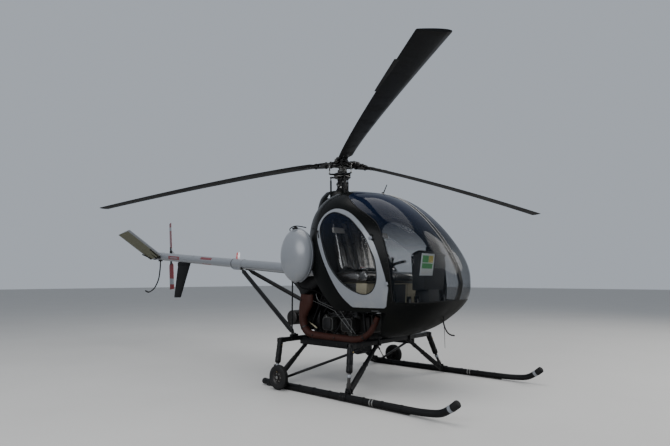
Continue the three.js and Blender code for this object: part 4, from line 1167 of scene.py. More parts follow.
def buildTailRotor():
    rotor = Piece("tail_rotor_blades", tailBlade, "tail_rotor")
    hub = vec(tailUnit["x"], tailUnit["hubY"], tailUnit["z"])
    tilt = shifted(hub) @ spun(tailUnit["tilt"], "Y")
    chord, thick = tailUnit["chord"], tailUnit["thickness"]
    for end in (1, -1):
        rotor.spot = tilt @ Matrix.Rotation(0 if end > 0 else pi, 4, "Y")
        places = []
        for out, size, fat in ((0.1, 0.42, 1.5), (0.13, 0.5, 1.4), (0.18, 0.96, 1.0), (0.24, 1, 1), (0.36, 1, 1),
                (0.5, 1, 1), (0.64, 1, 1), (tailUnit["radius"], 0.97, 0.8)):
            twist = spun(-tailUnit["pitch"], "Z")
            place = shifted((0, 0, out)) @ twist @ shifted((chord * 0.5 * end * size, 0, 0))
            places.append(place @ Matrix.Diagonal((chord * size * end, thick * fat * 0.9, 1, 1)))
        rotor.add(loft(wingOutline(12), places))
        for out in (0.118, 0.15):
            rotor.bolt((0, -0.01, out), (0, -1, 0), 0.006, steel)
            rotor.bolt((0, 0.01, out), (0, 1, 0), 0.006, steel)
        rotor.box((-0.022, -0.013, 0.085), (0.022, 0.013, 0.17), 0.003, headPaint)
        rotor.turned([(0, 0.03), (0.025, 0.03), (0.027, 0.04), (0.027, 0.085), (0.02, 0.098), (0, 0.098)], sides=24,
            finish=headPaint)
        rotor.rod((0.022, 0.0, 0.07), (0.056, 0.012, 0.07), 0.007, 12, steel)  # pitch horn and link
        rotor.rod((0.056, 0.012, 0.07), (0.046, 0.052, 0.022), 0.0045, 10, steel)
    rotor.spot = tilt
    rotor.turned([(0, -0.037), (0.026, -0.037), (0.034, -0.03), (0.041, -0.016), (0.041, 0.014), (0.032, 0.024),
        (0.022, 0.03), (0.022, 0.046), (0.05, 0.05), (0.05, 0.058), (0.014, 0.062), (0, 0.063)], (0, 0, 0),
        (0, 1, 0), 32, headPaint)
    rotor.done(("tail_rotor",), 35)


stays = [("starboard", (-0.3, -0.52, 0.496), (-1.995, -0.045, 1.34)), ("port", (-0.3, 0.58, 0.496),
    (-1.985, 0.045, 1.336))]


def buildStays():
    for name, low, high in stays:
        stay = Piece(f"boom_stay_{name}", gearPaint)
        low, high = Vector(low), Vector(high)
        along = (high - low).normalized()
        length = (high - low).length
        stay.turned([(0, 0.03), (0.011, 0.03), (0.011, 0.055), (0.029, 0.115), (0.03, 0.2), (0.03, length - 0.24),
            (0.029, length - 0.14), (0.012, length - 0.075), (0.012, length - 0.03), (0, length - 0.03)], low,
            along, 28)
        for spot, out in ((low, along), (high, -along)):
            eye = vec(-out.y, out.x, 0).normalized()
            stay.hoop(bushing(0.008, 0.021, 0.011), spot + out * 0.018, eye, 24, darkSteel)
            stay.bolt(spot + out * 0.018 + eye * 0.013, eye, 0.01, steel)
            stay.bolt(spot + out * 0.018 - eye * 0.013, -eye, 0.01, steel)
        for share in (0.1, 0.92):
            spot = low.lerp(high, share)
            stay.add(ringShape(spot, along, 0.03, 0.0025, 28, 8), darkSteel)
        stay.done((f"boom_strut_{name}",), 35)


buildBoom()
buildBeacon()
buildStabilizer()
buildFin()
buildTailSkid()
buildTailGearbox()
buildTailRotor()
buildStays()
print("tail built")


# Main rotor: mast, swashplates, articulated head with three arms, and three drooping blades
rotor = {"radius": 4.09, "hub": 2.655, "chord": 0.171, "thickness": 0.025, "root": 0.42, "droop": 0.361,
    "power": 1.3, "azimuths": (199.2, 316.1, 74.1)}
mast = {"radius": 0.044, "bottom": 1.095, "sleeve": 0.06, "sleeveLow": 2.0, "sleeveTop": 2.45}
swash = {"radius": 0.11, "fixed": (2.462, 2.49), "turning": (2.498, 2.522), "bore": 0.0475}
controlRods = {"places": ((-0.12, -0.085), (0.112, -0.088), (-0.014, 0.132)), "foot": 2.14}


def buildMast():
    column = Piece("mast_column", headPaint)
    column.turned([(0, mast["bottom"]), (mast["radius"], mast["bottom"]), (mast["radius"], 2.596), (0.04, 2.602),
        (0, 2.602)], sides=48, finish=steel)
    low, top, wide = mast["sleeveLow"], mast["sleeveTop"], mast["sleeve"]
    collars = [(low, wide), (2.285, wide), (2.29, 0.066), (2.318, 0.066), (2.323, 0.0585), (2.342, 0.0585),
        (2.346, 0.065), (2.352, 0.0665), (2.366, 0.0665), (2.371, 0.058), (2.392, 0.0575), (2.396, 0.064),
        (2.412, 0.064), (2.416, 0.0575), (2.43, 0.059), (2.436, 0.0625), (top - 0.004, 0.0625), (top, 0.058),
        (top, 0.046)]
    column.hoop([(0.045, low)] + [(radius, height) for height, radius in collars], sides=48)
    for spot in range(8):
        angle = spot / 8 * tau + 0.2
        out = vec(cos(angle), sin(angle), 0)
        column.bolt(out * 0.0585 + vec(0, 0, 2.352), (0, 0, -1), 0.0042, steel)
        column.rod(out * 0.061 + vec(0, 0, 2.318), out * 0.061 + vec(0, 0, 2.345), 0.0035, 8, darkSteel)
    for angle, height, size in ((3.9, 2.385, 0.016), (5.6, 2.405, 0.013), (5.2, 2.335, 0.014), (1.0, 2.38, 0.016),
            (4.7, 2.36, 0.012)):
        out = vec(cos(angle), sin(angle), 0)
        turn = shifted(out * 0.064 + vec(0, 0, height)) @ Matrix.Rotation(angle, 4, "Z")
        column.box((-0.008, -size, -0.013), (0.012, size, 0.013), 0.003, alloy, turn=turn)
        column.bolt(out * 0.075 + vec(0, 0, height), out, 0.0045, steel)
    for turns, start, size in ((1.1, 4.2, 0.0045), (-0.9, 5.4, 0.0028), (0.7, 2.1, 0.004)):  # leads on the sleeve
        coil = []
        for part in range(11):
            share = part / 10
            angle, wide = start + turns * share, 0.071 + 0.004 * sin(9 * share)
            coil.append(vec(cos(angle) * wide, sin(angle) * wide, 2.292 + 0.15 * share))
        column.tube(smoothed(coil, 3), size, 8, sealRubber)
    column.hoop([(0.044, 2.5415), (0.058, 2.5415), (0.06, 2.545), (0.06, 2.566), (0.05, 2.574), (0.044, 2.574)],
        sides=40, finish=alloy)
    column.done(("mast",), 35)


def rodEnd(point, axis, pin, size=1.0):  # ball joint: eye, ball and bolt
    point, axis, pin = Vector(point), Vector(axis).normalized(), Vector(pin).normalized()
    shape = turned([(0.0055 * size, -0.005 * size), (0.0125 * size, -0.005 * size), (0.0135 * size, 0),
        (0.0125 * size, 0.005 * size), (0.0055 * size, 0.005 * size)], point, pin, 20, closed=True)
    joined(shape, rod(point + axis * 0.011 * size, point + axis * 0.045 * size, 0.0065 * size, sides=10),
        rod(point - pin * 0.013 * size, point + pin * 0.013 * size, 0.0052 * size, sides=10),
        rod(point + axis * 0.04 * size, point + axis * 0.048 * size, 0.0105 * size, sides=6))
    return shape


def buildSwashplate():
    plate = Piece("lower_swashplate", headPaint)
    low, high = swash["fixed"]
    wide, bore = swash["radius"], swash["bore"]
    plate.hoop([(bore, low + 0.003), (0.07, low), (wide - 0.018, low + 0.004), (wide - 0.004, low + 0.006),
        (wide, low + 0.01), (wide, high - 0.005), (wide - 0.004, high), (0.075, high), (bore, high - 0.002)],
        sides=56)
    plate.add(ringShape((0, 0, (low + high) / 2), (0, 0, 1), wide - 0.001, 0.004, 56, 8), steel)
    middle = (low + high) / 2
    for x, y in controlRods["places"]:
        out = vec(x, y, 0).normalized()
        plate.box((0.085, -0.013, -0.01), (vec(x, y, 0).length - 0.004, 0.013, 0.01), 0.003,
            turn=shifted((0, 0, middle)) @ Matrix.Rotation(atan2(y, x), 4, "Z"))
        top = vec(x, y, middle - 0.002)
        foot = vec(x * 0.98, y * 0.98, controlRods["foot"])
        plate.add(rodEnd(top, foot - top, vec(0, 0, 1).cross(out)), darkSteel)
        plate.turned([(0, 0.03), (0.008, 0.03), (0.0115, 0.05), (0.0115, 0.3), (0, 0.3)], top, foot - top, 16,
            sealRubber)
    plate.done(("swashplate",), 35)


def armFrame(azimuth):
    return shifted((0, 0, rotor["hub"])) @ spun(azimuth, "Z")


def buildHead():
    head = Piece("rotor_head", headPaint, "main_rotor")
    head.turned([(0, 2.6035), (0.06, 2.6035), (0.062, 2.608), (0.062, 2.618), (0.054, 2.622), (0.054, 2.69),
        (0.046, 2.696), (0.03, 2.7), (0, 2.7)], sides=40, finish=alloy)
    head.hoop([(0.03, 2.682), (0.052, 2.682), (0.052, 2.694), (0.03, 2.697)], sides=6, finish=steel)
    low, high = swash["turning"]
    wide = swash["radius"]
    head.hoop([(0.053, low), (wide - 0.004, low), (wide, low + 0.004), (wide, high - 0.006), (wide - 0.006, high),
        (0.072, high), (0.068, high + 0.01), (0.053, high + 0.01)], sides=56)
    foot = (low + high) / 2 - rotor["hub"]
    for azimuth in rotor["azimuths"]:
        head.spot = armFrame(azimuth)
        for bottom, top in ((0.008, 0.024), (-0.034, -0.018)):  # hub plates, one lobe for each arm
            lobe = [(-0.03, -0.105), (0.062, -0.078), (0.118, -0.052), (0.136, -0.03), (0.14, 0), (0.136, 0.03),
                (0.118, 0.052), (0.062, 0.078), (-0.03, 0.105)]
            head.add(softened(lyingPlate(lobe, bottom, top), 0.003), headPaint)
        head.rod((0.105, 0, -0.04), (0.105, 0, 0.031), 0.013, 24, steel)
        head.bolt((0.105, 0, 0.026), (0, 0, 1), 0.013, steel)
        head.box((0.072, -0.03, -0.017), (0.15, 0.03, 0.007), 0.004, alloy)
        head.turned([(0, 0.118), (0.032, 0.118), (0.04, 0.124), (0.04, 0.146), (0.047, 0.15), (0.047, 0.162),
            (0.036, 0.168), (0.034, 0.205), (0.045, 0.214), (0.046, 0.232), (0.03, 0.24), (0, 0.24)],
            (0, 0, -0.002), (1, 0, 0), 32)
        for u, v in circle(6):
            head.bolt((0.162, 0.041 * u, 0.041 * v - 0.002), (1, 0, 0), 0.004, steel)
        for bottom, top in ((0.012, 0.026), (-0.032, -0.016)):  # fork that holds the blade root
            fork = [(0.205, -0.03), (0.235, -0.047), (0.3, -0.044), (0.345, -0.03), (0.396, -0.024), (0.402, 0),
                (0.396, 0.024), (0.345, 0.03), (0.3, 0.044), (0.235, 0.047), (0.205, 0.03)]
            head.add(softened(lyingPlate(fork, bottom, top), 0.003), headPaint)
        head.box((0.222, -0.034, -0.03), (0.3, 0.034, 0.026), 0.006)
        head.rod((0.368, 0, -0.04), (0.368, 0, 0.034), 0.01, 20, darkSteel)
        head.bolt((0.368, 0, 0.027), (0, 0, 1), 0.011, darkSteel)
        head.bolt((0.368, 0, -0.033), (0, 0, -1), 0.011, darkSteel)
        head.turned([(0, 0), (0.02, 0), (0.025, 0.008), (0.027, 0.012), (0.027, 0.105), (0.023, 0.112),
            (0.015, 0.116), (0.011, 0.12), (0.011, 0.165), (0, 0.165)], (0.11, -0.088, 0.012), (0.17, 0.028, 0), 28)
        for start in (0.02, 0.09):
            spot = vec(0.11, -0.088, 0.012) + vec(0.17, 0.028, 0).normalized() * start
            head.add(ringShape(spot, (0.17, 0.028, 0), 0.027, 0.0022, 28, 8), steel)
        head.box((0.262, -0.072, -0.002), (0.3, -0.04, 0.026), 0.004)
        head.box((0.058, -0.112, 0.0), (0.118, -0.06, 0.024), 0.005)
        head.bolt((0.096, -0.092, 0.024), (0, 0, 1), 0.008, steel)
        horn = smoothed([(0.18, 0.02, -0.024), (0.176, 0.06, -0.024), (0.135, 0.1, -0.022)], 5)
        head.tube(horn, lambda share: 0.017 - 0.006 * share, 14, flat=0.8)
        link, linkFoot = vec(0.135, 0.1, -0.028), vec(0.135, 0.1, foot + 0.006)
        head.add(rodEnd(link, (0, 0, -1), (0.6, -0.8, 0)), steel)
        head.add(rodEnd(linkFoot, (0, 0, 1), (0.6, -0.8, 0)), steel)
        head.rod(link - vec(0, 0, 0.034), linkFoot + vec(0, 0, 0.034), 0.0078, 16)
        arm = smoothed([(0.06, 0.044, foot), (0.1, 0.074, foot), (0.135, 0.1, foot - 0.002)], 4)
        head.tube(arm, lambda share: 0.015 - 0.004 * share, 12, flat=0.7)
    for azimuth in (140, 320):  # scissor links that turn the upper swashplate
        head.spot = armFrame(azimuth)
        elbow = (0.142, 0.0, -0.085)
        head.rod((0.054, 0, -0.05), elbow, 0.0085, 12, alloy)
        head.rod(elbow, (0.1, 0, foot + 0.012), 0.0085, 12, alloy)
        for spot in ((0.056, 0, -0.05), elbow, (0.1, 0, foot + 0.012)):
            head.rod(Vector(spot) - vec(0, 0.015, 0), Vector(spot) + vec(0, 0.015, 0), 0.0075, 12, steel)
    head.done(("rotor_hub",), 35)


def bladeDrop(out):
    share = max((out - rotor["root"]) / (rotor["radius"] - rotor["root"]), 0)
    return rotor["droop"] * share ** rotor["power"]


def buildBlades():
    chord, thick, tip = rotor["chord"], rotor["thickness"], rotor["radius"]
    for index, azimuth in enumerate(rotor["azimuths"]):
        blade = Piece(f"main_blade_{index + 1}", bladePaint, "main_rotor")
        blade.spot = armFrame(azimuth)
        stations = [(0.335, 0.5), (0.385, 0.84), (0.43, 1), (0.52, 1)]  # distance out, share of the full chord
        stations += [(0.6 + 0.155 * step, 1) for step in range(22)]
        stations += [(4.04, 1), (tip - 0.014, 1), (tip - 0.004, 0.985), (tip, 0.955)]
        places = []
        for out, size in stations:
            slope = (bladeDrop(out + 0.01) - bladeDrop(out - 0.01)) / 0.02
            twist = radians(8.0 - 9.0 * out / tip)
            ahead = vec(1, 0, -slope).normalized()
            across = vec(0, cos(twist), sin(twist))
            upward = ahead.cross(across)
            start = vec(out, 0, -bladeDrop(out)) + across * chord * 0.5 * size
            places.append(placedAt(start, across * chord * size, upward * thick * (0.9 if size == 1 else 0.6),
                ahead))
        blade.add(loft(wingOutline(16, 0.02), places))
        blade.mesh.normal_update()
        turn = vec(cos(radians(azimuth + 90)), sin(radians(azimuth + 90)), 0)
        front = chord * 0.5 - 0.022
        repainted(blade, bladeEdge, lambda middle, normal: middle.dot(turn) > front and middle.z < 2.64)
        for side in (1, -1):  # root doublers, stepped
            for reach, half, depth in ((0.54, 0.036, 0.014), (0.64, 0.03, 0.0132), (0.76, 0.022, 0.0124)):
                outline = [(0.331, -half), (reach - 0.03, -half), (reach, -half * 0.4), (reach, half * 0.4),
                    (reach - 0.03, half), (0.331, half)]
                shape = lyingPlate(outline, -depth, 0.0) if side < 0 else lyingPlate(outline, 0.0, depth)
                bmesh.ops.translate(shape, verts=shape.verts, vec=(0, 0, -0.001 - bladeDrop(reach) * 0.5))
                blade.add(softened(shape, 0.0015), headPaint)
            for out, across in ((0.44, 0.026), (0.44, -0.026), (0.485, 0.026), (0.485, -0.026), (0.53, 0.0),
                    (0.585, 0.016), (0.585, -0.016), (0.68, 0.0)):
                height = {0.585: 0.0125, 0.68: 0.011}.get(out, 0.015)
                blade.bolt((out, across, side * height - 0.002), (0, 0, side), 0.0058, steel)
        if index == 1:  # long trim tab on the trailing edge
            outer = [vec(out, -chord * 0.5 + 0.006, -bladeDrop(out) - 0.002) for out in (3.04, 3.25, 3.46, 3.68)]
            tab = tube(outer, 0.02, 8, 0.06, (0, 0, 1))
            blade.add(tab, darkSteel)
        blade.done((f"rotor_blade_{index + 1}",), 32)


buildMast()
buildSwashplate()
buildHead()
buildBlades()
print("rotor built")


# Landing gear: skids with their wear plates, slanted struts, dampers, braces and the two ground wheels
skid = {"y": 0.995, "radius": 0.031, "height": 0.039, "run": [(-0.3, 0.039), (0.0, 0.039), (0.4, 0.039),
    (0.8, 0.039), (1.2, 0.039), (1.6, 0.041), (1.76, 0.047), (1.9, 0.067), (1.995, 0.119), (2.056, 0.166)],
    "strap": (1.184, 1.214), "band": (1.975, 2.012), "sole": (-0.25, 1.6), "soleHalf": 0.02}
wheel = {"x": 0.023, "y": 1.082, "z": 0.13, "radius": 0.128, "width": 0.062}
gearStations = {  # strut top and foot, damper top and low end
    "front": ((0.756, 0.301, 0.462), (0.854, 0.942, 0.042), (0.762, 0.776, 0.486), (0.848, 0.913, 0.082)),
    "aft": ((-0.25, 0.301, 0.46), (-0.17, 0.942, 0.05), (-0.288, 0.776, 0.466), (-0.205, 0.916, 0.076)),
}


def saddle(piece, x, length):  # clamp where a strut meets the skid
    piece.hoop(bushing(0.0315, 0.0375, length / 2, 0.001), (x, skid["y"], skid["height"]), (1, 0, 0), 32)
    for along in (-0.016, 0.016):
        piece.bolt((x + along, skid["y"] + 0.036, skid["height"] + 0.012), (0, 1, 0.35), 0.0062, darkSteel)


def buildSkids():
    for name, side in sides:
        piece = Piece(f"skid_tube_{name}", gearPaint, side=side)
        run = smoothed([(x, skid["y"], z) for x, z in skid["run"]], 6)
        piece.tube(run, skid["radius"], 28, upright=(0, 1, 0))
        nose = (run[-1] - run[-2]).normalized()
        piece.turned([(0, -0.06), (0.032, -0.06), (0.0335, -0.056), (0.0335, 0.0), (0.03, 0.01), (0.018, 0.018),
            (0, 0.021)], run[-1], nose, 28, sealRubber)
        bandLow, bandHigh = (min(run, key=lambda p: abs(p.x - x)) for x in skid["band"])
        piece.band(0.0305, 0.0322, 0, 0.03, bandLow, bandHigh - bandLow, 28, tailPaint)
        piece.turned([(0, 0.016), (0.028, 0.014), (0.0325, 0.006), (0.0325, -0.03), (0, -0.03)], run[0], (-1, 0, 0),
            28, sealRubber)
        for x in skid["strap"]:
            piece.band(0.031, 0.0335, -0.006, 0.006, (x, skid["y"], skid["height"]), (1, 0, 0), 28, steel)
        low, high = skid["sole"]
        piece.box((low, skid["y"] - skid["soleHalf"], 0.0), (high, skid["y"] + skid["soleHalf"], 0.01), 0.003,
            darkSteel)
        for step in range(9):
            x = low + 0.08 + step * (high - low - 0.16) / 8
            piece.band(0.0312, 0.0345, -0.008, 0.008, (x, skid["y"], skid["height"]), (1, 0, 0), 28)
        for place in gearStations.values():
            saddle(piece, place[1][0], 0.085)
            lug = [(place[1][0] - 0.04, 0.05), (place[1][0] + 0.04, 0.05), (place[1][0] + 0.024, 0.108),
                (place[1][0] - 0.024, 0.108)]
            for y in (0.898, 0.932):
                piece.add(softened(prism(lug, y - 0.004, y + 0.004), 0.002))
        saddle(piece, -0.085, 0.05)
        x, z = wheel["x"], wheel["z"]
        saddle(piece, x, 0.07)
        arm = [(x - 0.026, 0.05), (x + 0.026, 0.05), (x + 0.024, z + 0.01), (x + 0.012, z + 0.026),
            (x - 0.012, z + 0.026), (x - 0.024, z + 0.01)]
        piece.add(softened(prism(arm, 0.99, 1.03), 0.004))
        piece.rod((x, 1.026, z), (x, 1.107, z), 0.0118, 24, steel)
        piece.box((x - 0.11, 0.984, 0.092), (x + 0.012, 1.004, 0.112), 0.004)
        piece.rod((x - 0.1, 0.975, 0.102), (x - 0.16, 0.975, 0.19), 0.008, 12, steel)  # lowering lever
        piece.rod((x - 0.156, 0.975, 0.184), (x - 0.186, 0.975, 0.228), 0.0115, 14, sealRubber)
        piece.rod((x - 0.096, 0.96, 0.102), (x - 0.096, 1.01, 0.102), 0.01, 14, steel)
        piece.done((f"skid_{name}",), 35)


shockParts = (  # body, rod, collar and lower cup: profiles of radius and share of the length
    ([(0, 0.02), (0.026, 0.02), (0.0335, 0.05), (0.034, 0.2), (0.0315, 0.21), (0.0315, 0.23), (0.034, 0.24),
    (0.034, 0.42), (0.0315, 0.43), (0.0315, 0.45), (0.034, 0.46), (0.0335, 0.585), (0.028, 0.61), (0.0205, 0.62),
    (0, 0.62)], 32, gearPaint),
    ([(0, 0.6), (0.0165, 0.6), (0.0165, 0.9), (0, 0.9)], 28, darkSteel),
    ([(0, 0.655), (0.021, 0.655), (0.0225, 0.665), (0.0225, 0.715), (0.021, 0.725), (0, 0.725)], 28, tailPaint),
    ([(0, 0.84), (0.0195, 0.84), (0.0235, 0.86), (0.0235, 0.94), (0.018, 0.97), (0, 0.97)], 28, darkSteel),
)


def buildStruts():
    for name, side in sides:
        for where, (top, foot, damperTop, damperLow) in gearStations.items():
            strut = Piece(f"gear_leg_{where}_{name}", gearPaint, side=side)
            top, foot, damperTop, damperLow = (Vector(point) for point in (top, foot, damperTop, damperLow))
            along = (foot - top).normalized()
            run = [top.lerp(foot, share) for share in (0.15, 0.35, 0.46, 0.56, 0.75)]
            run = [top + along * 0.01] + run + [foot - along * 0.016]
            sizes = (0.0215, 0.022, 0.0225, 0.025, 0.029, 0.0295, 0.029)
            strut.tube(run, stepped(sizes), 24, upright=(1, 0, 0))
            strut.rod(top - vec(0.045, 0, 0), top + vec(0.045, 0, 0), 0.015, 20, darkSteel)
            strut.add(softened(rod(top - along * 0.022, top + along * 0.055, 0.027, sides=24), 0.004))
            for end in (-1, 1):
                strut.bolt(top + vec(0.04 * end, 0, 0), (end, 0, 0), 0.01, darkSteel)
            for share, size in ((0.5, 0.0265), (0.8, 0.029), (0.9, 0.029)):
                strut.add(ringShape(top.lerp(foot, share), along, size, 0.003, 28, 8), darkSteel)
            lead = [top.lerp(foot, share) + vec(0.02 + 0.01 * share, 0, 0.012) for share in (0.08, 0.3, 0.6, 0.86)]
            strut.tube(smoothed(lead, 5), 0.0035, 8, sealRubber)  # earthing lead, clipped along the leg
            for share in (0.2, 0.42, 0.66):
                strut.add(ringShape(top.lerp(foot, share), along, 0.0275, 0.0022, 24, 6, 2.0), sealRubber)
            strut.done((f"gear_strut_{where}_{name}",), 35)
            shock = Piece(f"shock_{where}_{name}", gearPaint, side=side)
            reach = (damperLow - damperTop).length
            along = (damperLow - damperTop).normalized()
            for profile, around, tone in shockParts:
                steps = [(radius, reach * share) for radius, share in profile]
                shock.turned(steps, damperTop, along, around, tone)
            for spot, size in ((damperTop, 0.021), (damperLow, 0.017)):
                shock.hoop(bushing(0.008, size, 0.013), spot, (1, 0, 0), 24, darkSteel)
                for end in (-1, 1):
                    shock.bolt(spot + vec(0.016 * end, 0, 0), (end, 0, 0), 0.009, darkSteel)
            valve = damperTop.lerp(damperLow, 0.13)
            shock.rod(valve + vec(0.03, 0, 0), valve + vec(0.046, 0, 0.004), 0.005, 10, brass)
            shock.done((f"damper_{where}_{name}",), 35)
        brace = Piece(f"brace_tube_{name}", gearPaint, side=side)
        foot, top = vec(-0.095, 0.97, 0.072), vec(0.7, 0.43, 0.43)
        along = (top - foot).normalized()
        reach = (top - foot).length
        brace.turned([(0, 0.02), (0.008, 0.02), (0.008, 0.06), (0.014, 0.09), (0.0145, 0.3), (0.0145, reach - 0.3),
            (0.014, reach - 0.09), (0.008, reach - 0.05), (0.008, reach - 0.015), (0, reach - 0.015)], foot, along,
            22)
        for spot, out in ((foot, along), (top, -along)):
            brace.add(rodEnd(spot + out * 0.004, out, (-along.y, along.x, 0), 1.25), darkSteel)
        brace.done((f"drag_brace_{name}",), 35)


def buildWheels():
    radius, half = wheel["radius"], wheel["width"] / 2
    for name, side in sides:
        tyre = Piece(f"wheel_tyre_{name}", tyreRubber, f"wheel_{name}")
        centre = (wheel["x"], wheel["y"] * side, wheel["z"])
        section = [(0.07, -half * 0.7), (0.078, -half * 0.86), (0.096, -half * 0.99), (0.112, -half * 0.96),
            (radius - 0.006, -half * 0.76)]
        tread = []
        for across in (-0.56, -0.3, 0.02, 0.3, 0.56):
            tread += [(radius - 0.0005 - 0.004 * across * across, half * (across - 0.09)),
                (radius - 0.005, half * (across - 0.065)), (radius - 0.005, half * (across + 0.035)),
                (radius - 0.0005 - 0.004 * across * across, half * (across + 0.06))]
        section += tread + [(out, -height) for out, height in reversed(section)]
        tyre.hoop(section, centre, (0, 1, 0), 72)
        tyre.add(ringShape(Vector(centre) + vec(0, half * 0.93 * side, 0), (0, 1, 0), 0.1, 0.0022, 56, 6))
        rim = [(0.013, -0.024), (0.024, -0.024), (0.026, -0.016), (0.052, -0.01), (0.06, -0.02), (0.071, -0.0235),
            (0.0735, -0.02), (0.0725, 0.0), (0.0735, 0.02), (0.071, 0.0235), (0.06, 0.02), (0.052, 0.012),
            (0.026, 0.018), (0.024, 0.026), (0.013, 0.026)]
        tyre.hoop([(out, height * side) for out, height in rim], centre, (0, 1, 0), 56, darkSteel)
        for u, v in circle(6):
            out = vec(u, 0, v)
            tyre.bolt(Vector(centre) + out * 0.04 + vec(0, 0.0125 * side, 0), (0, side, 0), 0.0055, steel)
        tyre.rod(Vector(centre) + vec(0, 0.014 * side, 0.056), Vector(centre) + vec(0, 0.03 * side, 0.06), 0.0035,
            10, brass)
        tyre.add(softened(rod(Vector(centre) + vec(0, 0.0262 * side, 0), Vector(centre) + vec(0, 0.03 * side, 0),
            0.017, sides=6), 0.001), steel)
        tyre.done((f"ground_wheel_{name}",), 35)


buildSkids()
buildStruts()
buildWheels()
print("landing gear built")


# Centre frame, tanks and the cowl round the mast
centreFrame = {"front": (0.762, 0.486), "aft": (-0.288, 0.466), "half": 0.745, "beamY": (0.405, 0.455),
    "beamZ": (0.395, 0.47), "bearers": (0.02, 0.48), "tube": 0.017}


def buildFrame():
    piece = Piece("centre_truss", gearPaint)
    for x, z in (centreFrame["front"], centreFrame["aft"]):
        half = centreFrame["half"]
        piece.box((x - 0.025, -half, z - 0.025), (x + 0.025, half, z + 0.025), 0.005, segments=3)
        for side in (-1, 1):
            y = half * side
            piece.box((x - 0.028, y - 0.034, z - 0.028), (x + 0.028, y + 0.034, z + 0.028), 0.004, headPaint)
            for along in (-0.034, 0.034):  # damper lugs at the beam's end
                low, high = sorted((y + 0.012 * side, y + 0.05 * side))
                piece.box((x + along - 0.004, low, z - 0.026), (x + along + 0.004, high, z + 0.022), 0.0015)
            for spot in (0.3, 0.43, 0.62):
                piece.bolt((x + 0.025, spot * side, z), (1, 0, 0), 0.008, darkSteel)
    (frontX, frontZ), (aftX, aftZ) = centreFrame["front"], centreFrame["aft"]
    for x in centreFrame["bearers"]:
        piece.box((x - 0.018, -0.41, 0.43), (x + 0.018, 0.41, 0.47), 0.005, segments=3)
    for side in (-1, 1):
        piece.spot = mirrored(side)
        (inner, outer), (low, high) = centreFrame["beamY"], centreFrame["beamZ"]
        piece.box((aftX, inner, low), (frontX, outer, high), 0.005, segments=3)
        for start, end in (((aftX, 0.33, aftZ), (-0.17, 0.07, 1.15)), ((0.6, 0.3, frontZ), (0.56, 0.3, 0.88)),
                ((0.59, 0.3, frontZ), (frontX, 0.3, frontZ))):
            piece.rod(start, end, centreFrame["tube"], 20)
        piece.rod((aftX, 0.33, aftZ), (-0.06, 0.3, 0.98), 0.014, 16)
        piece.rod((0.11, 0.31, 0.47), (0.33, 0.26, 0.84), 0.013, 16)
        for x in (-0.18, 0.06, 0.3, 0.54, 0.69):
            piece.bolt((x, outer, 0.433), (0, 1, 0), 0.007, darkSteel)
        for x in (0.44, 0.53, 0.58, 0.66):
            piece.rod((x, 0.43, high - 0.002), (x, 0.43, high + 0.018), 0.008, 6, brass)
        for x, z in ((aftX, aftZ), (frontX, frontZ)):
            piece.box((x - 0.04, 0.285, z - 0.032), (x + 0.04, 0.318, z + 0.03), 0.005, headPaint)
        piece.box((aftX - 0.022, 0.49, aftZ + 0.01), (aftX + 0.006, 0.61, aftZ + 0.05), 0.004, headPaint)
    piece.done(("centre_frame",), 35)


tanks = {  # middle, then half length, half width and half height
    "starboard": ((-0.2, -0.6, 1.455), (0.25, 0.14, 0.325)),
    "port": ((-0.22, 0.59, 1.45), (0.3, 0.16, 0.34)),
}


def ellipsoid(centre, halves, power):
    shape = bmesh.new()
    turn = Matrix.Rotation(pi / 2, 4, "X")
    bmesh.ops.create_uvsphere(shape, u_segments=72, v_segments=40, radius=1, matrix=turn)
    for vert in shape.verts:  # a fuller shoulder than a plain ball
        bulge = 1 / max((abs(vert.co.y) ** power + (vert.co.x ** 2 + vert.co.z ** 2) ** (power / 2)) ** (1 / power),
            1e-6)
        vert.co *= bulge
    moved(shape, shifted(centre) @ Matrix.Diagonal((*halves, 1)))
    return shape


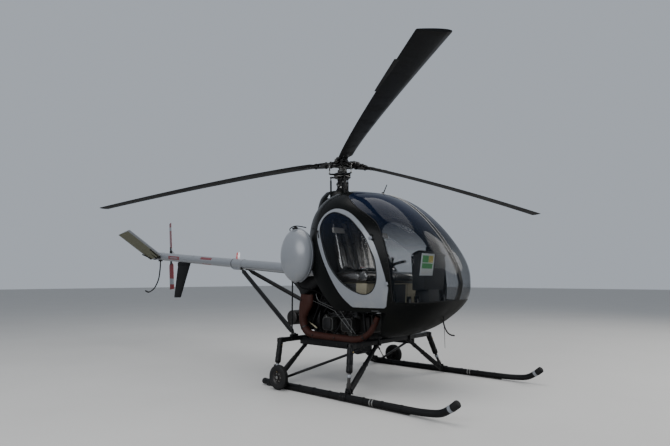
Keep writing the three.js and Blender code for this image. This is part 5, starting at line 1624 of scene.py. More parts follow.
def buildTanks():
    for name, side in sides:
        centre, halves = (Vector(value) for value in tanks[name])
        tank = Piece(f"tank_shell_{name}", tankPaint)
        tank.add(ellipsoid(centre, halves, 2.15))
        seam = [centre + vec(halves.x * u * 1.003, 0, halves.z * v * 1.003) for u, v in circle(80)]
        tank.tube(seam, 0.005, 8, closed=True)
        top = centre + vec(0.01, 0.05 * side, halves.z * 0.93)
        tank.turned([(0, -0.03), (0.036, -0.03), (0.036, 0.004), (0.03, 0.01), (0.03, 0.018), (0, 0.018)], top,
            (0, 0.25 * side, 1), 32)
        tank.turned([(0, 0.012), (0.033, 0.012), (0.034, 0.016), (0.034, 0.026), (0.03, 0.031), (0, 0.032)], top,
            (0, 0.25 * side, 1), 24, headPaint)
        tank.box((-0.02, -0.004, 0.03), (0.02, 0.004, 0.042), 0.002, headPaint, turn=shifted(top))
        vent = centre + vec(-halves.x * 0.45, 0, halves.z * 0.86)
        pipe = ((0, 0, 0), (-0.02, 0, 0.05), (0.03, -0.05, 0.085), (0.1, -0.16, 0.07))
        tank.tube(smoothed([vent + vec(x, y * side, z) for x, y, z in pipe], 6), 0.006, 10, sealRubber)
        drain = centre + vec(0.02, 0, -halves.z * 0.97)
        tank.turned([(0, 0), (0.022, 0), (0.022, -0.014), (0.012, -0.02), (0.012, -0.04), (0, -0.04)], drain,
            sides=24, finish=headPaint)
        hose = ((0, 0, -0.03), (0.02, -0.04, -0.075), (0.07, -0.16, -0.1), (0.11, -0.3, -0.16), (0.14, -0.4, -0.3))
        tank.tube(smoothed([drain + vec(x, y * side, z) for x, y, z in hose], 6), 0.0085, 12, sealRubber)
        for share in (0.35, -0.3):  # brackets towards the cabin
            spot = centre + vec(0.0, -halves.y * 0.8 * side, halves.z * share)
            tank.box((-0.03, -0.02, -0.018), (0.03, 0.02, 0.018), 0.004, headPaint, turn=shifted(spot))
            tank.rod(spot, spot + vec(0.09, -0.16 * side, 0.02), 0.01, 14, headPaint)
        tank.done((f"fuel_tank_{name}",), 40)
        strut = Piece(f"tank_stay_{name}", gearPaint)
        low = vec(-0.28, centre.y, 0.492)
        high = vec(centre.x - 0.08, centre.y, centre.z - halves.z + 0.052)
        along = (high - low).normalized()
        strut.rod(low, high, 0.009, 18)
        strut.add(rodEnd(low, along, (0, 1, 0), 1.1), darkSteel)
        strut.add(softened(rod(high - along * 0.05, high - along * 0.02, 0.013, sides=18), 0.002), darkSteel)
        strut.add(softened(rod(high - along * 0.015, high + along * 0.004, 0.026, sides=24), 0.003), headPaint)
        strut.done((f"tank_strut_{name}",), 35)


cowl = {"x": -0.085, "bottom": 2.04, "top": 2.29, "low": (0.305, 0.19), "high": (0.19, 0.108),
    "slot": (-0.222, 2.25), "slotRadius": 0.042, "bulge": ((-0.36, 0.1), (-0.22, 0.55), (-0.08, 0.86), (0.04, 0.96),
    (0.14, 0.955), (0.24, 0.9), (0.45, 0.78), (0.65, 0.62), (0.8, 0.4), (0.92, 0.12), (1.0, -0.08))}


def cowlFrame(height, spread):
    (lowX, lowY), (highX, highY) = cowl["low"], cowl["high"]
    return levelPlace(cowl["x"], 0, height, highX + (lowX - highX) * spread, highY + (lowY - highY) * spread)


def buildCowl():
    rise = cowl["top"] - cowl["bottom"]
    outer = loft(circle(72), [cowlFrame(cowl["bottom"] + rise * share, spread) for share, spread in cowl["bulge"]])
    shell = carve(outer, rod((0, 0, 1.9), (0, 0, 2.5), 0.0675, sides=48))
    for side in (-1, 1):
        x, z = cowl["slot"]
        slot = rod((x + 0.3, -0.3 * side, z - 0.075), (x - 0.3, 0.3 * side, z + 0.075), cowl["slotRadius"], sides=3)
        shell = carve(shell, softened(slot, 0.008, 3))
    piece = Piece("mast_cowl", blackPaint)
    piece.add(shell)
    piece.done(("mast_fairing",), 32)
    trim = Piece("mast_cowl_trim", sealRubber)
    (lowX, lowY), (highX, highY) = cowl["low"], cowl["high"]
    rim = [vec(cowl["x"] + highX * 0.94 * u, highY * 0.9 * v, cowl["top"] - 0.002) for u, v in circle(64)]
    trim.tube(rim, 0.0055, 8, blackPaint, closed=True)
    foot = []
    for u, v in circle(88):
        low = vec(cowl["x"] + lowX * u, lowY * v, cowl["bottom"])
        high = vec(cowl["x"] + 0.24 * u, 0.145 * v, cowl["top"] - 0.03)
        for step in range(60):
            point = low.lerp(high, step / 59)
            if hullShare(point) > 1:
                break
        foot.append(point)
    trim.tube(foot, 0.0065, 8, closed=True)
    boot = [(0.0665, 2.288), (0.086, 2.29), (0.088, 2.296), (0.076, 2.3), (0.08, 2.306), (0.072, 2.311),
        (0.075, 2.317), (0.0665, 2.32)]
    trim.hoop(boot, sides=48)
    for u, v in circle(16):
        point = vec(cowl["x"] + 0.16 * u, 0.084 * v, cowl["top"])
        if (point - vec(0, 0, cowl["top"])).length > 0.095:
            trim.rod(point - vec(0, 0, 0.001), point + vec(0, 0, 0.0016), 0.0042, 10, steel, endRadius=0.003)
    trim.done(smooth=40)


buildFrame()
buildTanks()
buildCowl()
print("frame, tanks and cowl built")


# Flat four-cylinder engine in its open bay, with its shroud, exhaust and the gear case under the mast
engine = {"rear": -0.11, "front": 0.56, "half": 0.15, "bottom": 0.53, "top": 0.775, "cylinders": (0.04, 0.33),
    "z": 0.64, "barrel": 0.056, "finHalf": 0.082, "finRise": 0.076, "fins": 11, "firstFin": 0.168, "lastFin": 0.318}


def finPlate(y, grow=0.0):
    half, rise = engine["finHalf"] + grow, engine["finRise"] + grow
    outline = [(-half, -rise * 0.7), (-half * 0.75, -rise), (half * 0.75, -rise), (half, -rise * 0.7),
        (half, rise * 0.7), (half * 0.75, rise), (-half * 0.75, rise), (-half, rise * 0.7)]
    return prism(outline, y - 0.0022, y + 0.0022)


def buildEngine():
    piece = Piece("engine_unit", darkShadedCase)
    rear, front, half, bottom, top = (engine[key] for key in ("rear", "front", "half", "bottom", "top"))
    piece.box((rear + 0.02, -half, bottom + 0.01), (front - 0.02, half, top - 0.03), 0.022, segments=4)
    piece.box((rear + 0.06, -0.11, top - 0.06), (front - 0.1, 0.11, top), 0.018, segments=4)
    piece.box((rear, -0.09, bottom + 0.03), (rear + 0.06, 0.09, top - 0.02), 0.014, alloy, segments=3)
    piece.box((front - 0.06, -0.12, bottom + 0.02), (front, 0.12, top - 0.01), 0.016, alloy, segments=3)
    piece.box((rear + 0.1, -0.1, 0.49), (front - 0.14, 0.1, bottom + 0.03), 0.014, alloy, segments=3)
    for x in centreFrame["bearers"]:
        piece.box((x - 0.025, -0.12, 0.4705), (x + 0.025, 0.12, 0.53), 0.008, headPaint)
        for y in (-0.1, 0.1):
            piece.bolt((x, y, 0.528), (0, 0, 1), 0.008, steel)
    for x in [rear + 0.06 + step * 0.062 for step in range(9)]:
        for side in (-1, 1):
            near, far = sorted((0.146 * side, 0.158 * side))
            piece.box((x - 0.004, near, 0.56), (x + 0.004, far, 0.74), 0.002)
            piece.bolt((x + 0.02, side * 0.096, top - 0.004), (0, 0, 1), 0.0055, steel)
    for side in (-1, 1):
        for x in engine["cylinders"]:
            piece.spot = shifted((x, 0, engine["z"])) @ mirrored(side)
            piece.rod((0, 0.14, 0), (0, 0.334, 0), engine["barrel"], 32, alloy)
            count = engine["fins"]
            for index in range(count):
                y = engine["firstFin"] + (engine["lastFin"] - engine["firstFin"]) * index / (count - 1)
                piece.add(finPlate(y, 0.0 if index > 4 else -0.008), alloy)
            cover = [(-0.062, -0.045), (-0.046, -0.066), (0.046, -0.066), (0.062, -0.045), (0.062, 0.045),
                (0.046, 0.066), (-0.046, 0.066), (-0.062, 0.045)]
            piece.add(softened(prism(cover, 0.322, 0.3375), 0.005, 3), darkShadedCase)
            for bx, bz in ((-0.05, 0.04), (0.05, 0.04), (-0.05, -0.04), (0.05, -0.04), (0, 0.057), (0, -0.057)):
                piece.bolt((bx, 0.3372, bz), (0, 1, 0), 0.0042, darkSteel)
            for dx in (-0.026, 0.026):  # pushrod tubes above the barrel
                piece.rod((dx, 0.14, 0.068), (dx, 0.325, 0.058), 0.0085, 14, darkSteel)
            plug = vec(0.052, 0.285, 0.06)
            piece.rod(plug, plug + vec(0.018, 0.01, 0.036), 0.0085, 6, steel)
            lead = [plug + vec(0.017, 0.01, 0.034), plug + vec(0.026, 0.0, 0.066), vec(0.06, 0.2, 0.12),
                vec(0.02, 0.08, 0.14), vec(0.01, 0.0, 0.135)]
            piece.tube(smoothed(lead, 5), 0.0042, 8, sealRubber)
            intake = [vec(0.03, 0.268, -0.062), vec(0.03, 0.262, -0.092), vec(0.02, 0.2, -0.112),
                vec(0.0, 0.09, -0.118)]
            piece.tube(smoothed(intake, 5), 0.017, 16, alloy)
            port = [vec(-0.045, 0.275, -0.055), vec(-0.05, 0.282, -0.1), vec(-0.055, 0.255, -0.132)]
            piece.tube(smoothed(port, 5), 0.0185, 16, burntSteel)
            piece.band(0.018, 0.03, -0.004, 0.004, (-0.046, 0.278, -0.078), (0, 0.1, -1), 24, burntSteel)
        piece.spot = Matrix.Identity(4)
    for side in (-1, 1):  # exhaust runs to the canister behind
        run = [(0.3, 0.262 * side, 0.512), (0.16, 0.268 * side, 0.502), (-0.03, 0.255 * side, 0.506),
            (-0.135, 0.18 * side, 0.56), (-0.215, 0.09 * side, 0.66), (-0.33, 0.06 * side, 0.688)]
        piece.tube(smoothed(run, 7), 0.0215, 20, burntSteel)
    piece.turned([(0, 0), (0.036, 0), (0.036, 0.085), (0.031, 0.095), (0, 0.098)], (0.42, -0.175, 0.74),
        (0, -1, 0.25), 28, darkTrim)
    piece.turned([(0, 0), (0.04, 0), (0.046, 0.012), (0.046, 0.09), (0.036, 0.104), (0, 0.104)],
        (0.52, 0.165, 0.655), (0, 1, 0), 28, steel)
    piece.turned([(0, 0), (0.048, 0), (0.048, 0.01), (0.04, 0.016), (0.04, 0.085), (0.03, 0.095), (0, 0.095)],
        (-0.08, -0.12, 0.7), (-0.3, -1, 0), 30, alloy)
    piece.add(softened(rod((0.475, -0.315, 0.412), (0.475, -0.185, 0.412), 0.088, sides=40), 0.01, 3), headPaint)
    piece.rod((-0.295, -0.33, 0.667), (-0.125, -0.33, 0.581), 0.008, 14, beigeTrim)
    piece.box((0.1, -0.06, 0.775), (0.19, 0.03, 0.838), 0.01, alloy, segments=3)
    piece.box((0.23, -0.04, 0.775), (0.3, 0.06, 0.822), 0.01, darkShadedCase, segments=3)
    for y in (-0.03, 0.0, 0.03):
        piece.turned([(0, 0), (0.012, 0), (0.012, 0.014), (0, 0.014)], (0.145, y - 0.015, 0.838), (0, 0, 1), 18,
            steel)
    hoses = [([(0.14, 0.03, 0.81), (0.16, 0.12, 0.84), (0.05, 0.2, 0.84), (-0.06, 0.18, 0.8)], 0.011, sealRubber),
        ([(0.26, -0.04, 0.8), (0.28, -0.16, 0.83), (0.36, -0.2, 0.79), (0.42, -0.19, 0.755)], 0.009, sealRubber),
        ([(0.1, -0.03, 0.815), (0.02, -0.12, 0.86), (-0.07, -0.18, 0.84), (-0.13, -0.2, 0.76)], 0.01, sealRubber),
        ([(-0.05, -0.16, 0.7), (-0.02, -0.24, 0.76), (0.09, -0.29, 0.76), (0.2, -0.28, 0.75)], 0.006, darkTrim),
        ([(-0.06, -0.15, 0.66), (0.0, -0.27, 0.68), (0.14, -0.34, 0.735), (0.3, -0.34, 0.74)], 0.0045, darkTrim),
        ([(0.48, -0.1, 0.76), (0.44, -0.22, 0.74), (0.3, -0.3, 0.73), (0.12, -0.31, 0.735), (0.0, -0.27, 0.78)],
        0.007, sealRubber)]
    for path, radius, tone in hoses:
        piece.tube(smoothed(path, 7), radius, 12, tone)
        for end in (0, -1):
            towards = Vector(path[1 if end == 0 else -2]) - Vector(path[end])
            piece.add(ringShape(Vector(path[end]) + towards.normalized() * 0.012, towards, radius + 0.001, 0.002,
                20, 6, 1.6), darkSteel)
    piece.done(("engine_block",), 35)


# x, z, radius from the rear top down and forward
shroud = {"y": 0.43, "stations": [(-0.24, 0.99, 0.045), (-0.262, 0.8, 0.052), (-0.245, 0.62, 0.05),
    (-0.15, 0.526, 0.044), (0.06, 0.508, 0.04), (0.3, 0.506, 0.038), (0.59, 0.512, 0.036), (0.757, 0.6, 0.032),
    (0.863, 0.77, 0.03)], "flare": [(-0.254, 0.7, 0.046), (-0.236, 0.77, 0.062), (-0.206, 0.84, 0.084),
    (-0.192, 0.9, 0.094), (-0.19, 0.984, 0.094)]}
bayLines = {"y": 0.43, "lines": [  # x, z of two thin lines in the bay
    [(-0.133, 0.992), (-0.124, 0.92), (-0.049, 0.898), (0.221, 0.815), (0.29, 0.766), (0.503, 0.574)],
    [(-0.05, 0.993), (-0.017, 0.923), (0.05, 0.893), (0.318, 0.812), (0.368, 0.765), (0.55, 0.568)]]}


def buildShroud():
    for name, side in sides:
        piece = Piece(f"shroud_tube_{name}", shroudPaint)
        run = smoothed([(x, shroud["y"] * side, z, radius) for x, z, radius in shroud["stations"]], 9)
        sizes = [point[3] for point in run]
        path = [Vector(point[:3]) for point in run]
        piece.tube(path, stepped(sizes), 28, upright=(0, 1, 0))
        for index in (4, 20, 31, 44, 58, 68):
            ahead = path[index + 1] - path[index - 1]
            size, way = sizes[index], ahead.normalized()
            piece.band(size - 0.002, size + 0.0022, -0.007, 0.007, path[index], ahead, 32,
                darkSteel if index in (20, 58) else shroudPaint)
            lug = placedAt(path[index], way, (0, side, 0), way.cross(vec(0, side, 0)))
            piece.box((-0.01, -0.006, size), (0.01, 0.006, size + 0.012), 0.002, darkSteel,
                turn=lug @ Matrix.Rotation(pi / 2 * side, 4, "X"))
        flare = [levelPlace(x, shroud["y"] * side, z, wide, 0.046) for x, z, wide in shroud["flare"]]
        piece.add(softened(loft(circle(36), flare), 0.005))  # wide upper end
        mouth = (path[0] - path[1]).normalized()
        piece.band(sizes[0] - 0.004, sizes[0] + 0.004, -0.002, 0.01, path[0], mouth, 32)
        piece.rod(path[0] - mouth * 0.002, path[0] + mouth * 0.001, sizes[0] - 0.005, 32, sealRubber)
        piece.done((f"engine_shroud_{name}",), 35)
        pipes = Piece(f"bay_lines_{name}", lineMetal, side=side)
        for line in bayLines["lines"]:
            path = smoothed([(x, bayLines["y"], z) for x, z in line], 6)
            pipes.tube(path, 0.004, 12)
            pipes.rod(path[-1], path[-1] + vec(0.012, -0.012, -0.045), 0.0075, 6, darkSteel)
            pipes.rod(path[0], path[0] + vec(0.0, -0.03, 0.01), 0.0075, 6, darkSteel)
        for x, z in ((0.05, 0.879), (0.3, 0.804)):
            pipes.box((x - 0.005, 0.42, z - 0.022), (x + 0.06, 0.427, z + 0.022), 0.002, headPaint)
        bar = smoothed([(-0.366, 0.4, 0.735), (-0.305, 0.405, 0.705), (-0.244, 0.4, 0.662)], 5)
        pipes.tube(bar, 0.01, 14, alloy)
        pipes.done(smooth=40)


muffler = {"x": -0.62, "z": 0.678, "half": 0.29, "radius": 0.092, "pipes": 0.06}


def buildMuffler():
    piece = Piece("muffler_can", burntSteel)
    x, z, half, radius = (muffler[key] for key in ("x", "z", "half", "radius"))
    piece.turned([(0, -half), (radius * 0.75, -half + 0.004), (radius - 0.004, -half + 0.012),
        (radius, -half + 0.02), (radius, -0.06), (radius + 0.003, -0.056), (radius + 0.003, -0.046),
        (radius, -0.042), (radius, half - 0.02), (radius - 0.004, half - 0.012), (radius * 0.75, half - 0.004),
        (0, half)], (x, 0, z), (0, 1, 0), 44, darkSteel)
    for y in (-muffler["pipes"], muffler["pipes"]):
        piece.rod((x, y, z + 0.01), (-0.1105, y, z + 0.01), 0.023, 24)
        for joint in (-0.135, -0.33, -0.515):
            piece.band(0.02, 0.034, -0.006, 0.006, (joint, y, z + 0.01), (1, 0, 0), 28)
    piece.tube(smoothed([(x, -half + 0.05, z - 0.03), (x - 0.06, -half + 0.04, z - 0.075),
        (x - 0.13, -half + 0.04, z - 0.09)], 6), 0.028, 22)
    for y in (-0.12, 0.12):
        piece.band(radius, radius + 0.004, -0.01, 0.01, (x, y, z), (0, 1, 0), 44, steel)
        piece.rod((x + 0.02, y, z - radius + 0.01), (centreFrame["aft"][0] - 0.015, y * 1.6,
            centreFrame["aft"][1] - 0.02), 0.008, 12, headPaint)
    piece.done(("exhaust_muffler",), 35)


def buildGearCase():
    case = Piece("gear_case", greyCase)
    case.turned([(0, 0.93), (0.07, 0.932), (0.09, 0.944), (0.096, 0.962), (0.096, 1.03), (0.101, 1.034),
        (0.101, 1.052), (0.096, 1.056), (0.094, 1.12), (0.08, 1.16), (0.06, 1.178), (0.046, 1.18), (0.046, 1.15),
        (0, 1.15)], sides=56)
    case.box((-0.325, -0.083, 1.118), (0.018, 0.083, 1.288), 0.022, segments=4)
    case.box((-0.188, -0.083, 0.962), (0.028, 0.083, 1.13), 0.018, segments=4)
    for u, v in circle(12):
        out = vec(u, v, 0)
        case.bolt(out * 0.0985 + vec(0, 0, 1.052), (0, 0, 1), 0.0052, steel)
    for x in (-0.29, -0.22, -0.15, -0.08):
        for side in (-1, 1):
            near, far = sorted((0.081 * side, 0.093 * side))
            case.box((x - 0.005, near, 1.135), (x + 0.005, far, 1.272), 0.002)
    for side in (-1, 1):
        case.bolt((-0.05, 0.083 * side, 1.0), (0, side, 0), 0.012, steel)
        case.turned([(0, 0), (0.026, 0), (0.026, 0.008), (0.018, 0.012), (0, 0.012)], (-0.125, 0.083 * side, 1.045),
            (0, side, 0), 28, steel)
    case.box((-0.118, -0.04, 1.285), (-0.06, 0.04, 1.33), 0.01, alloy)
    for x, z, size in ((-0.15, 0.64, 0.08), (-0.15, 1.045, 0.1)):  # belt pulleys behind the engine
        grooves = []
        for index in range(5):
            start = -0.03 + index * 0.012
            grooves += [(size, start), (size - 0.008, start + 0.004), (size - 0.008, start + 0.007),
                (size, start + 0.011)]
        case.hoop([(0.02, -0.034)] + grooves + [(0.02, 0.032)], (x, 0, z), (1, 0, 0), 44, darkSteel)
    for index in range(5):
        x = -0.175 + index * 0.012
        loop = []
        for u, v in circle(28):
            z, size = (1.045, 0.097) if v > 0 else (0.64, 0.077)
            loop.append(vec(x, u * size, z + v * size))
        case.tube(loop, 0.0048, 6, sealRubber, upright=(1, 0, 0), closed=True)
    case.done(("transmission",), 35)


# round fan housing behind the engine, its belt guard, and dark sheets that close the bay: painted shade for the
# bay's dark inside
housing = {"boot": [(-0.241, 0.43, 0.99, 0.05, 0.05), (-0.225, 0.42, 1.04, 0.11, 0.062),
    (-0.225, 0.405, 1.1, 0.2, 0.08), (-0.24, 0.395, 1.165, 0.27, 0.095), (-0.25, 0.39, 1.2, 0.28, 0.095)]}


def buildHousing():
    piece = Piece("fan_housing", headPaint)
    drum = [(0, -0.085), (0.2, -0.085), (0.262, -0.07), (0.276, -0.05), (0.276, 0.05), (0.262, 0.07), (0.12, 0.082),
        (0, 0.082)]
    piece.turned(drum, (-0.215, 0, 0.69), (1, 0, 0), 64)
    for u, v in circle(12):
        piece.bolt((-0.215 + 0.062, 0.264 * u, 0.69 + 0.264 * v), (1, 0, 0), 0.006, darkSteel)
    piece.box((-0.285, -0.13, 0.9), (-0.135, 0.13, 1.13), 0.02, segments=3)
    piece.box((-0.29, -0.452, 0.86), (-0.272, 0.452, 1.21), 0.006, segments=3)  # upper and lower wall: dark sheets closing the back of the bay, painted shade
    piece.box((-0.292, -0.372, 0.545), (-0.274, 0.372, 0.88), 0.006, segments=3)
    for y in (-0.4, -0.26, 0.26, 0.4):
        piece.box((-0.298, y - 0.009, 0.89), (-0.264, y + 0.009, 1.18), 0.004)
    for spot in range(13):
        piece.bolt((-0.292, -0.42 + spot * 0.07, 0.872), (-1, 0, 0), 0.005, darkSteel)
    for side in (-1, 1):
        piece.rod((-0.225, 0.23 * side, 0.7), (-0.245, 0.392 * side, 0.7), 0.05, 28)
        boot = [levelPlace(x, y * side, z, wide, deep) for x, y, z, wide, deep in housing["boot"]]
        piece.add(softened(loft(circle(32), boot), 0.006), sealRubber)
    # a thin dark sheet down the middle of the bay's front: painted shade that hides the far side
    web = [(0.6, 0.52), (0.72, 0.53), (0.86, 0.625), (1.0, 0.8), (0.6, 0.815)]
    piece.add(prism(web, -0.005, 0.005))
    piece.done(smooth=35)


buildEngine()
buildHousing()
buildShroud()
buildMuffler()
buildGearCase()
print("engine built")


# Cockpit: bench seat with padded cushion and back, belts, console, sticks and pedals
seat = {"base": [(0.404, 0.843), (0.75, 0.843), (0.77, 1.128), (0.342, 1.128)], "baseHalf": 0.503,
    "cushion": [(0.352, 1.136), (0.655, 1.136), (0.684, 1.156), (0.712, 1.138), (0.765, 1.14), (0.8, 1.165),
    (0.803, 1.205), (0.78, 1.246), (0.735, 1.262), (0.702, 1.254), (0.676, 1.228), (0.64, 1.246), (0.56, 1.25),
    (0.4, 1.24), (0.342, 1.228)], "cushionHalf": 0.535, "back": [(0.335, 1.262), (0.415, 1.268), (0.418, 1.3),
    (0.345, 1.56), (0.268, 1.815), (0.246, 1.862), (0.215, 1.872), (0.19, 1.85), (0.205, 1.78), (0.262, 1.52)],
    "backHalf": 0.47, "voxel": 0.006, "pressure": 4.0, "frames": 20, "cap": 0.016, "floor": 0.842}


def sewnPad(name, outline, half, replacedNode, grooves):
    # The plain pad, swelled by cloth pressure; its seams are pressed in and its piping is laid on afterwards.
    pad = softened(prism(outline, -half, half), 0.02, 3, 20)
    bmesh.ops.translate(pad, verts=pad.verts, vec=mastAxis)
    made = standing(name, meshOf(name, pad))
    pad.free()
    remesh = made.modifiers.new("remesh", "REMESH")
    remesh.mode = "VOXEL"
    remesh.voxel_size = seat["voxel"] * 1.0
    evaluated = made.evaluated_get(bpy.context.evaluated_depsgraph_get())
    plain = bpy.data.meshes.new_from_object(evaluated)
    made.modifiers.remove(remesh)
    made.data = plain
    before = [vert.co.copy() for vert in plain.vertices]
    pins = made.vertex_groups.new(name="pinned")
    for vert in plain.vertices:
        held = min(grooves(vert.co - mastAxis), 1.0)
        if held > 0.02:
            pins.add([vert.index], held, "REPLACE")
    cloth = made.modifiers.new("cloth", "CLOTH")
    cloth.settings.use_pressure = True
    cloth.settings.uniform_pressure_force = seat["pressure"]
    cloth.settings.vertex_group_mass = "pinned"
    cloth.settings.effector_weights.gravity = 0
    cloth.settings.quality = 5
    cloth.point_cache.frame_start = 1
    cloth.point_cache.frame_end = seat["frames"]
    for step in range(1, seat["frames"] + 1):
        bpy.context.scene.frame_set(step)
    evaluated = made.evaluated_get(bpy.context.evaluated_depsgraph_get())
    swelled = bpy.data.meshes.new_from_object(evaluated)
    made.modifiers.remove(cloth)
    for vert, start in zip(swelled.vertices, before):
        move = vert.co - start
        if move.length > seat["cap"]:
            vert.co = start + move.normalized() * seat["cap"]
    made.data = swelled
    bpy.context.scene.frame_set(1)
    mesh = made.data
    shape = bmesh.new()
    shape.from_mesh(mesh)
    shape.normal_update()
    for vert in shape.verts:
        spot = vert.co - mastAxis
        vert.co -= vert.normal * 0.007 * grooves(spot)
    bmesh.ops.smooth_vert(shape, verts=shape.verts, factor=0.35, use_axis_x=True, use_axis_y=True, use_axis_z=True)
    shape.to_mesh(mesh)
    shape.free()
    mesh.materials.clear()
    mesh.materials.append(leather.material)
    mesh.shade_smooth()
    made.vertex_groups.clear()
    finer = made.modifiers.new("subdivision", "SUBSURF")
    finer.levels = finer.render_levels = 1
    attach(made, "airframe")
    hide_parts(replacedNode)


def ridge(value, middle, width):  # 1 on a seam line, falling to 0 beside it
    return max(1 - abs(value - middle) / width, 0.0) ** 1.5


def buildSeat():
    base = Piece("seat_box", beigeTrim)
    half = seat["baseHalf"]
    base.add(softened(prism(seat["base"], -half, half), 0.012, 3))
    # panels on the front of the box; the dark middle one is painted shade over the front, which lies in shadow
    for y, wide, tone in ((-0.385, 0.085, beigeTrim), (0.0, 0.262, darkTrim), (0.385, 0.085, beigeTrim)):
        lean = shifted((0.7615, y, 0.985)) @ Matrix.Rotation(atan2(0.02, 0.288), 4, "Y")
        base.box((-0.002, -wide, -0.125), (0.004, wide, 0.125), 0.004, tone, 3, lean)
        for edge in (y - wide + 0.015, y + wide - 0.015):
            base.bolt((0.7665, edge, 0.985), (1, 0, -0.07), 0.0042, darkSteel)
    for side in (-1, 1):  # a dark sheet on the rear of each flank: painted shade, leaving only the flank's front beige
        flank = prism([(0.404, 0.846), (0.625, 0.846), (0.625, 1.126), (0.345, 1.126)], half * side,
            (half + 0.004) * side)
        base.add(softened(flank, 0.001), darkTrim)
    for y in (-half - 0.0005, half + 0.0005):
        base.box((0.43, min(y, y * 1.006), 0.88), (0.72, max(y, y * 1.006), 1.09), 0.002, beigeTrim)
    rail = smoothed([(0.78, -half - 0.01, 1.13), (0.782, -0.2, 1.132), (0.782, 0.2, 1.132),
        (0.78, half + 0.01, 1.13)], 5)
    base.tube(rail, 0.0055, 10, darkTrim)
    base.done(("seat_base",), 35)

    def cushionSeams(spot):  # two seats side by side, with a roll along the front
        inner = ridge(spot.y, 0, 0.016)
        across = sum(ridge(abs(spot.y), y, 0.011) for y in (0.1, 0.2, 0.3, 0.4)) * (0.385 < spot.x < 0.655)
        roll = ridge(spot.x, 0.68, 0.012)
        top = spot.z > 1.2
        side = ridge(spot.z, 1.15, 0.01)
        return max(inner if spot.z > 1.15 else 0, across if top else 0, roll, side * 0.7 if spot.x < 0.66 else 0)

    def backSeams(spot):
        inner = ridge(spot.y, 0, 0.018)
        frontSide = spot.x > 0.425 - (spot.z - 1.268) * 0.29 - 0.028
        pleats = sum(ridge(abs(spot.y), y, 0.012) for y in (0.125, 0.195, 0.265, 0.335, 0.405))
        bands = ridge(spot.z, 1.74, 0.012)
        return max(inner, (pleats if 1.31 < spot.z < 1.735 and frontSide else 0), bands if frontSide else 0)

    sewnPad("seat_pad_cushion", seat["cushion"], seat["cushionHalf"], "seat_cushion", cushionSeams)
    sewnPad("seat_pad_back", seat["back"], seat["backHalf"], "seat_back", backSeams)
    piping = Piece("seat_piping", darkTrim)
    edges = (("cushionHalf", [(0.365, 1.238), (0.45, 1.25), (0.56, 1.258), (0.64, 1.252), (0.672, 1.232)]),
        ("backHalf", [(0.424, 1.3), (0.352, 1.565), (0.276, 1.82), (0.25, 1.868), (0.214, 1.88)]))
    for side in (-1, 1):
        for half, edge in edges:
            piping.tube(smoothed([(x, seat[half] * side, z) for x, z in edge], 6), 0.004, 8)
    piping.done(smooth=50)


def strap(path):
    return loft([(-0.5, -0.5), (0.5, -0.5), (0.5, 0.5), (-0.5, 0.5)],
        [placedAt(point, side * belt["width"], face * belt["thick"], ahead)
            for point, side, face, ahead in ribbonFrames(path)])


def ribbonFrames(path):  # path points as (place, facing direction)
    run = smoothed([(*place, *facing) for place, facing in path], 6)
    frames = []
    for index, both in enumerate(run):
        before, after = run[max(index - 1, 0)], run[min(index + 1, len(run) - 1)]
        ahead = (Vector(after[:3]) - Vector(before[:3])).normalized()
        side = ahead.cross(Vector(both[3:])).normalized()
        frames.append((Vector(both[:3]), side, side.cross(ahead), ahead))
    return frames


# middle of each seat, half the gap of its shoulder straps, and the webbing's size
belt = {"middle": 0.29, "spread": 0.085, "width": 0.046, "thick": 0.0022}


def buildBelts():
    belts = Piece("seat_belts", webbing)
    for side in (-1, 1):
        middle = belt["middle"] * side
        for offset in (-belt["spread"], belt["spread"]):
            y = middle + offset
            belts.add(strap([((0.205, y, 1.895), (0.5, 0, 1)), ((0.262, y, 1.882), (1, 0, 0.6)),
                ((0.3, y + offset * -0.05, 1.78), (1, 0, 0.3)), ((0.362, y - offset * 0.1, 1.56), (1, 0, 0.3)),
                ((0.428, y - offset * 0.25, 1.36), (1, 0, 0.3)), ((0.47, y - offset * 0.4, 1.29), (0.6, 0, 1)),
                ((0.52, y - offset * 0.55, 1.28), (0, 0, 1))]))
        for hand in (-1, 1):
            lap = ((0.385, 0.215, 1.252), (0.45, 0.17, 1.276), (0.51, 0.09, 1.284), (0.545, 0.036, 1.285))
            belts.add(strap([((x, (belt["middle"] + out * hand) * side, z), (0, 0, 1)) for x, out, z in lap]))
        belts.box((0.52, middle - 0.03, 1.281), (0.585, middle + 0.03, 1.3), 0.005, chrome, 3)
        belts.box((0.532, middle - 0.018, 1.299), (0.572, middle + 0.018, 1.305), 0.003, wireRed)
        for offset in (-belt["spread"], belt["spread"]):
            belts.box((0.35, middle + offset - 0.026, 1.578), (0.37, middle + offset + 0.026, 1.596), 0.003,
                darkSteel)
    belts.done(smooth=40)


console = {  # side outlines of the pedestal, the head and the hood's upper edge, with their half widths
    "pedestal": [(1.145, 0.655), (1.315, 0.745), (1.3, 1.07), (1.15, 1.07)], "half": 0.12,
    "head": [(1.3, 1.05), (1.342, 1.33), (1.33, 1.425), (1.272, 1.467), (1.172, 1.438), (1.15, 1.05)],
    "headHalf": 0.213, "hood": [(1.16, 1.44), (1.225, 1.47), (1.29, 1.472), (1.345, 1.43)], "hoodHalf": 0.214,
    "dials": [(y, 0.095, 0.04) for y in (-0.135, -0.045, 0.045, 0.135)]
    + [(y, 0.005, 0.04) for y in (-0.135, -0.045, 0.045, 0.135)]
    + [(y, -0.08, 0.028) for y in (-0.14, -0.075, 0.075, 0.14)],
    "ticks": 12, "switches": 8, "radios": (0.84, 0.9, 0.96, 1.02),
}


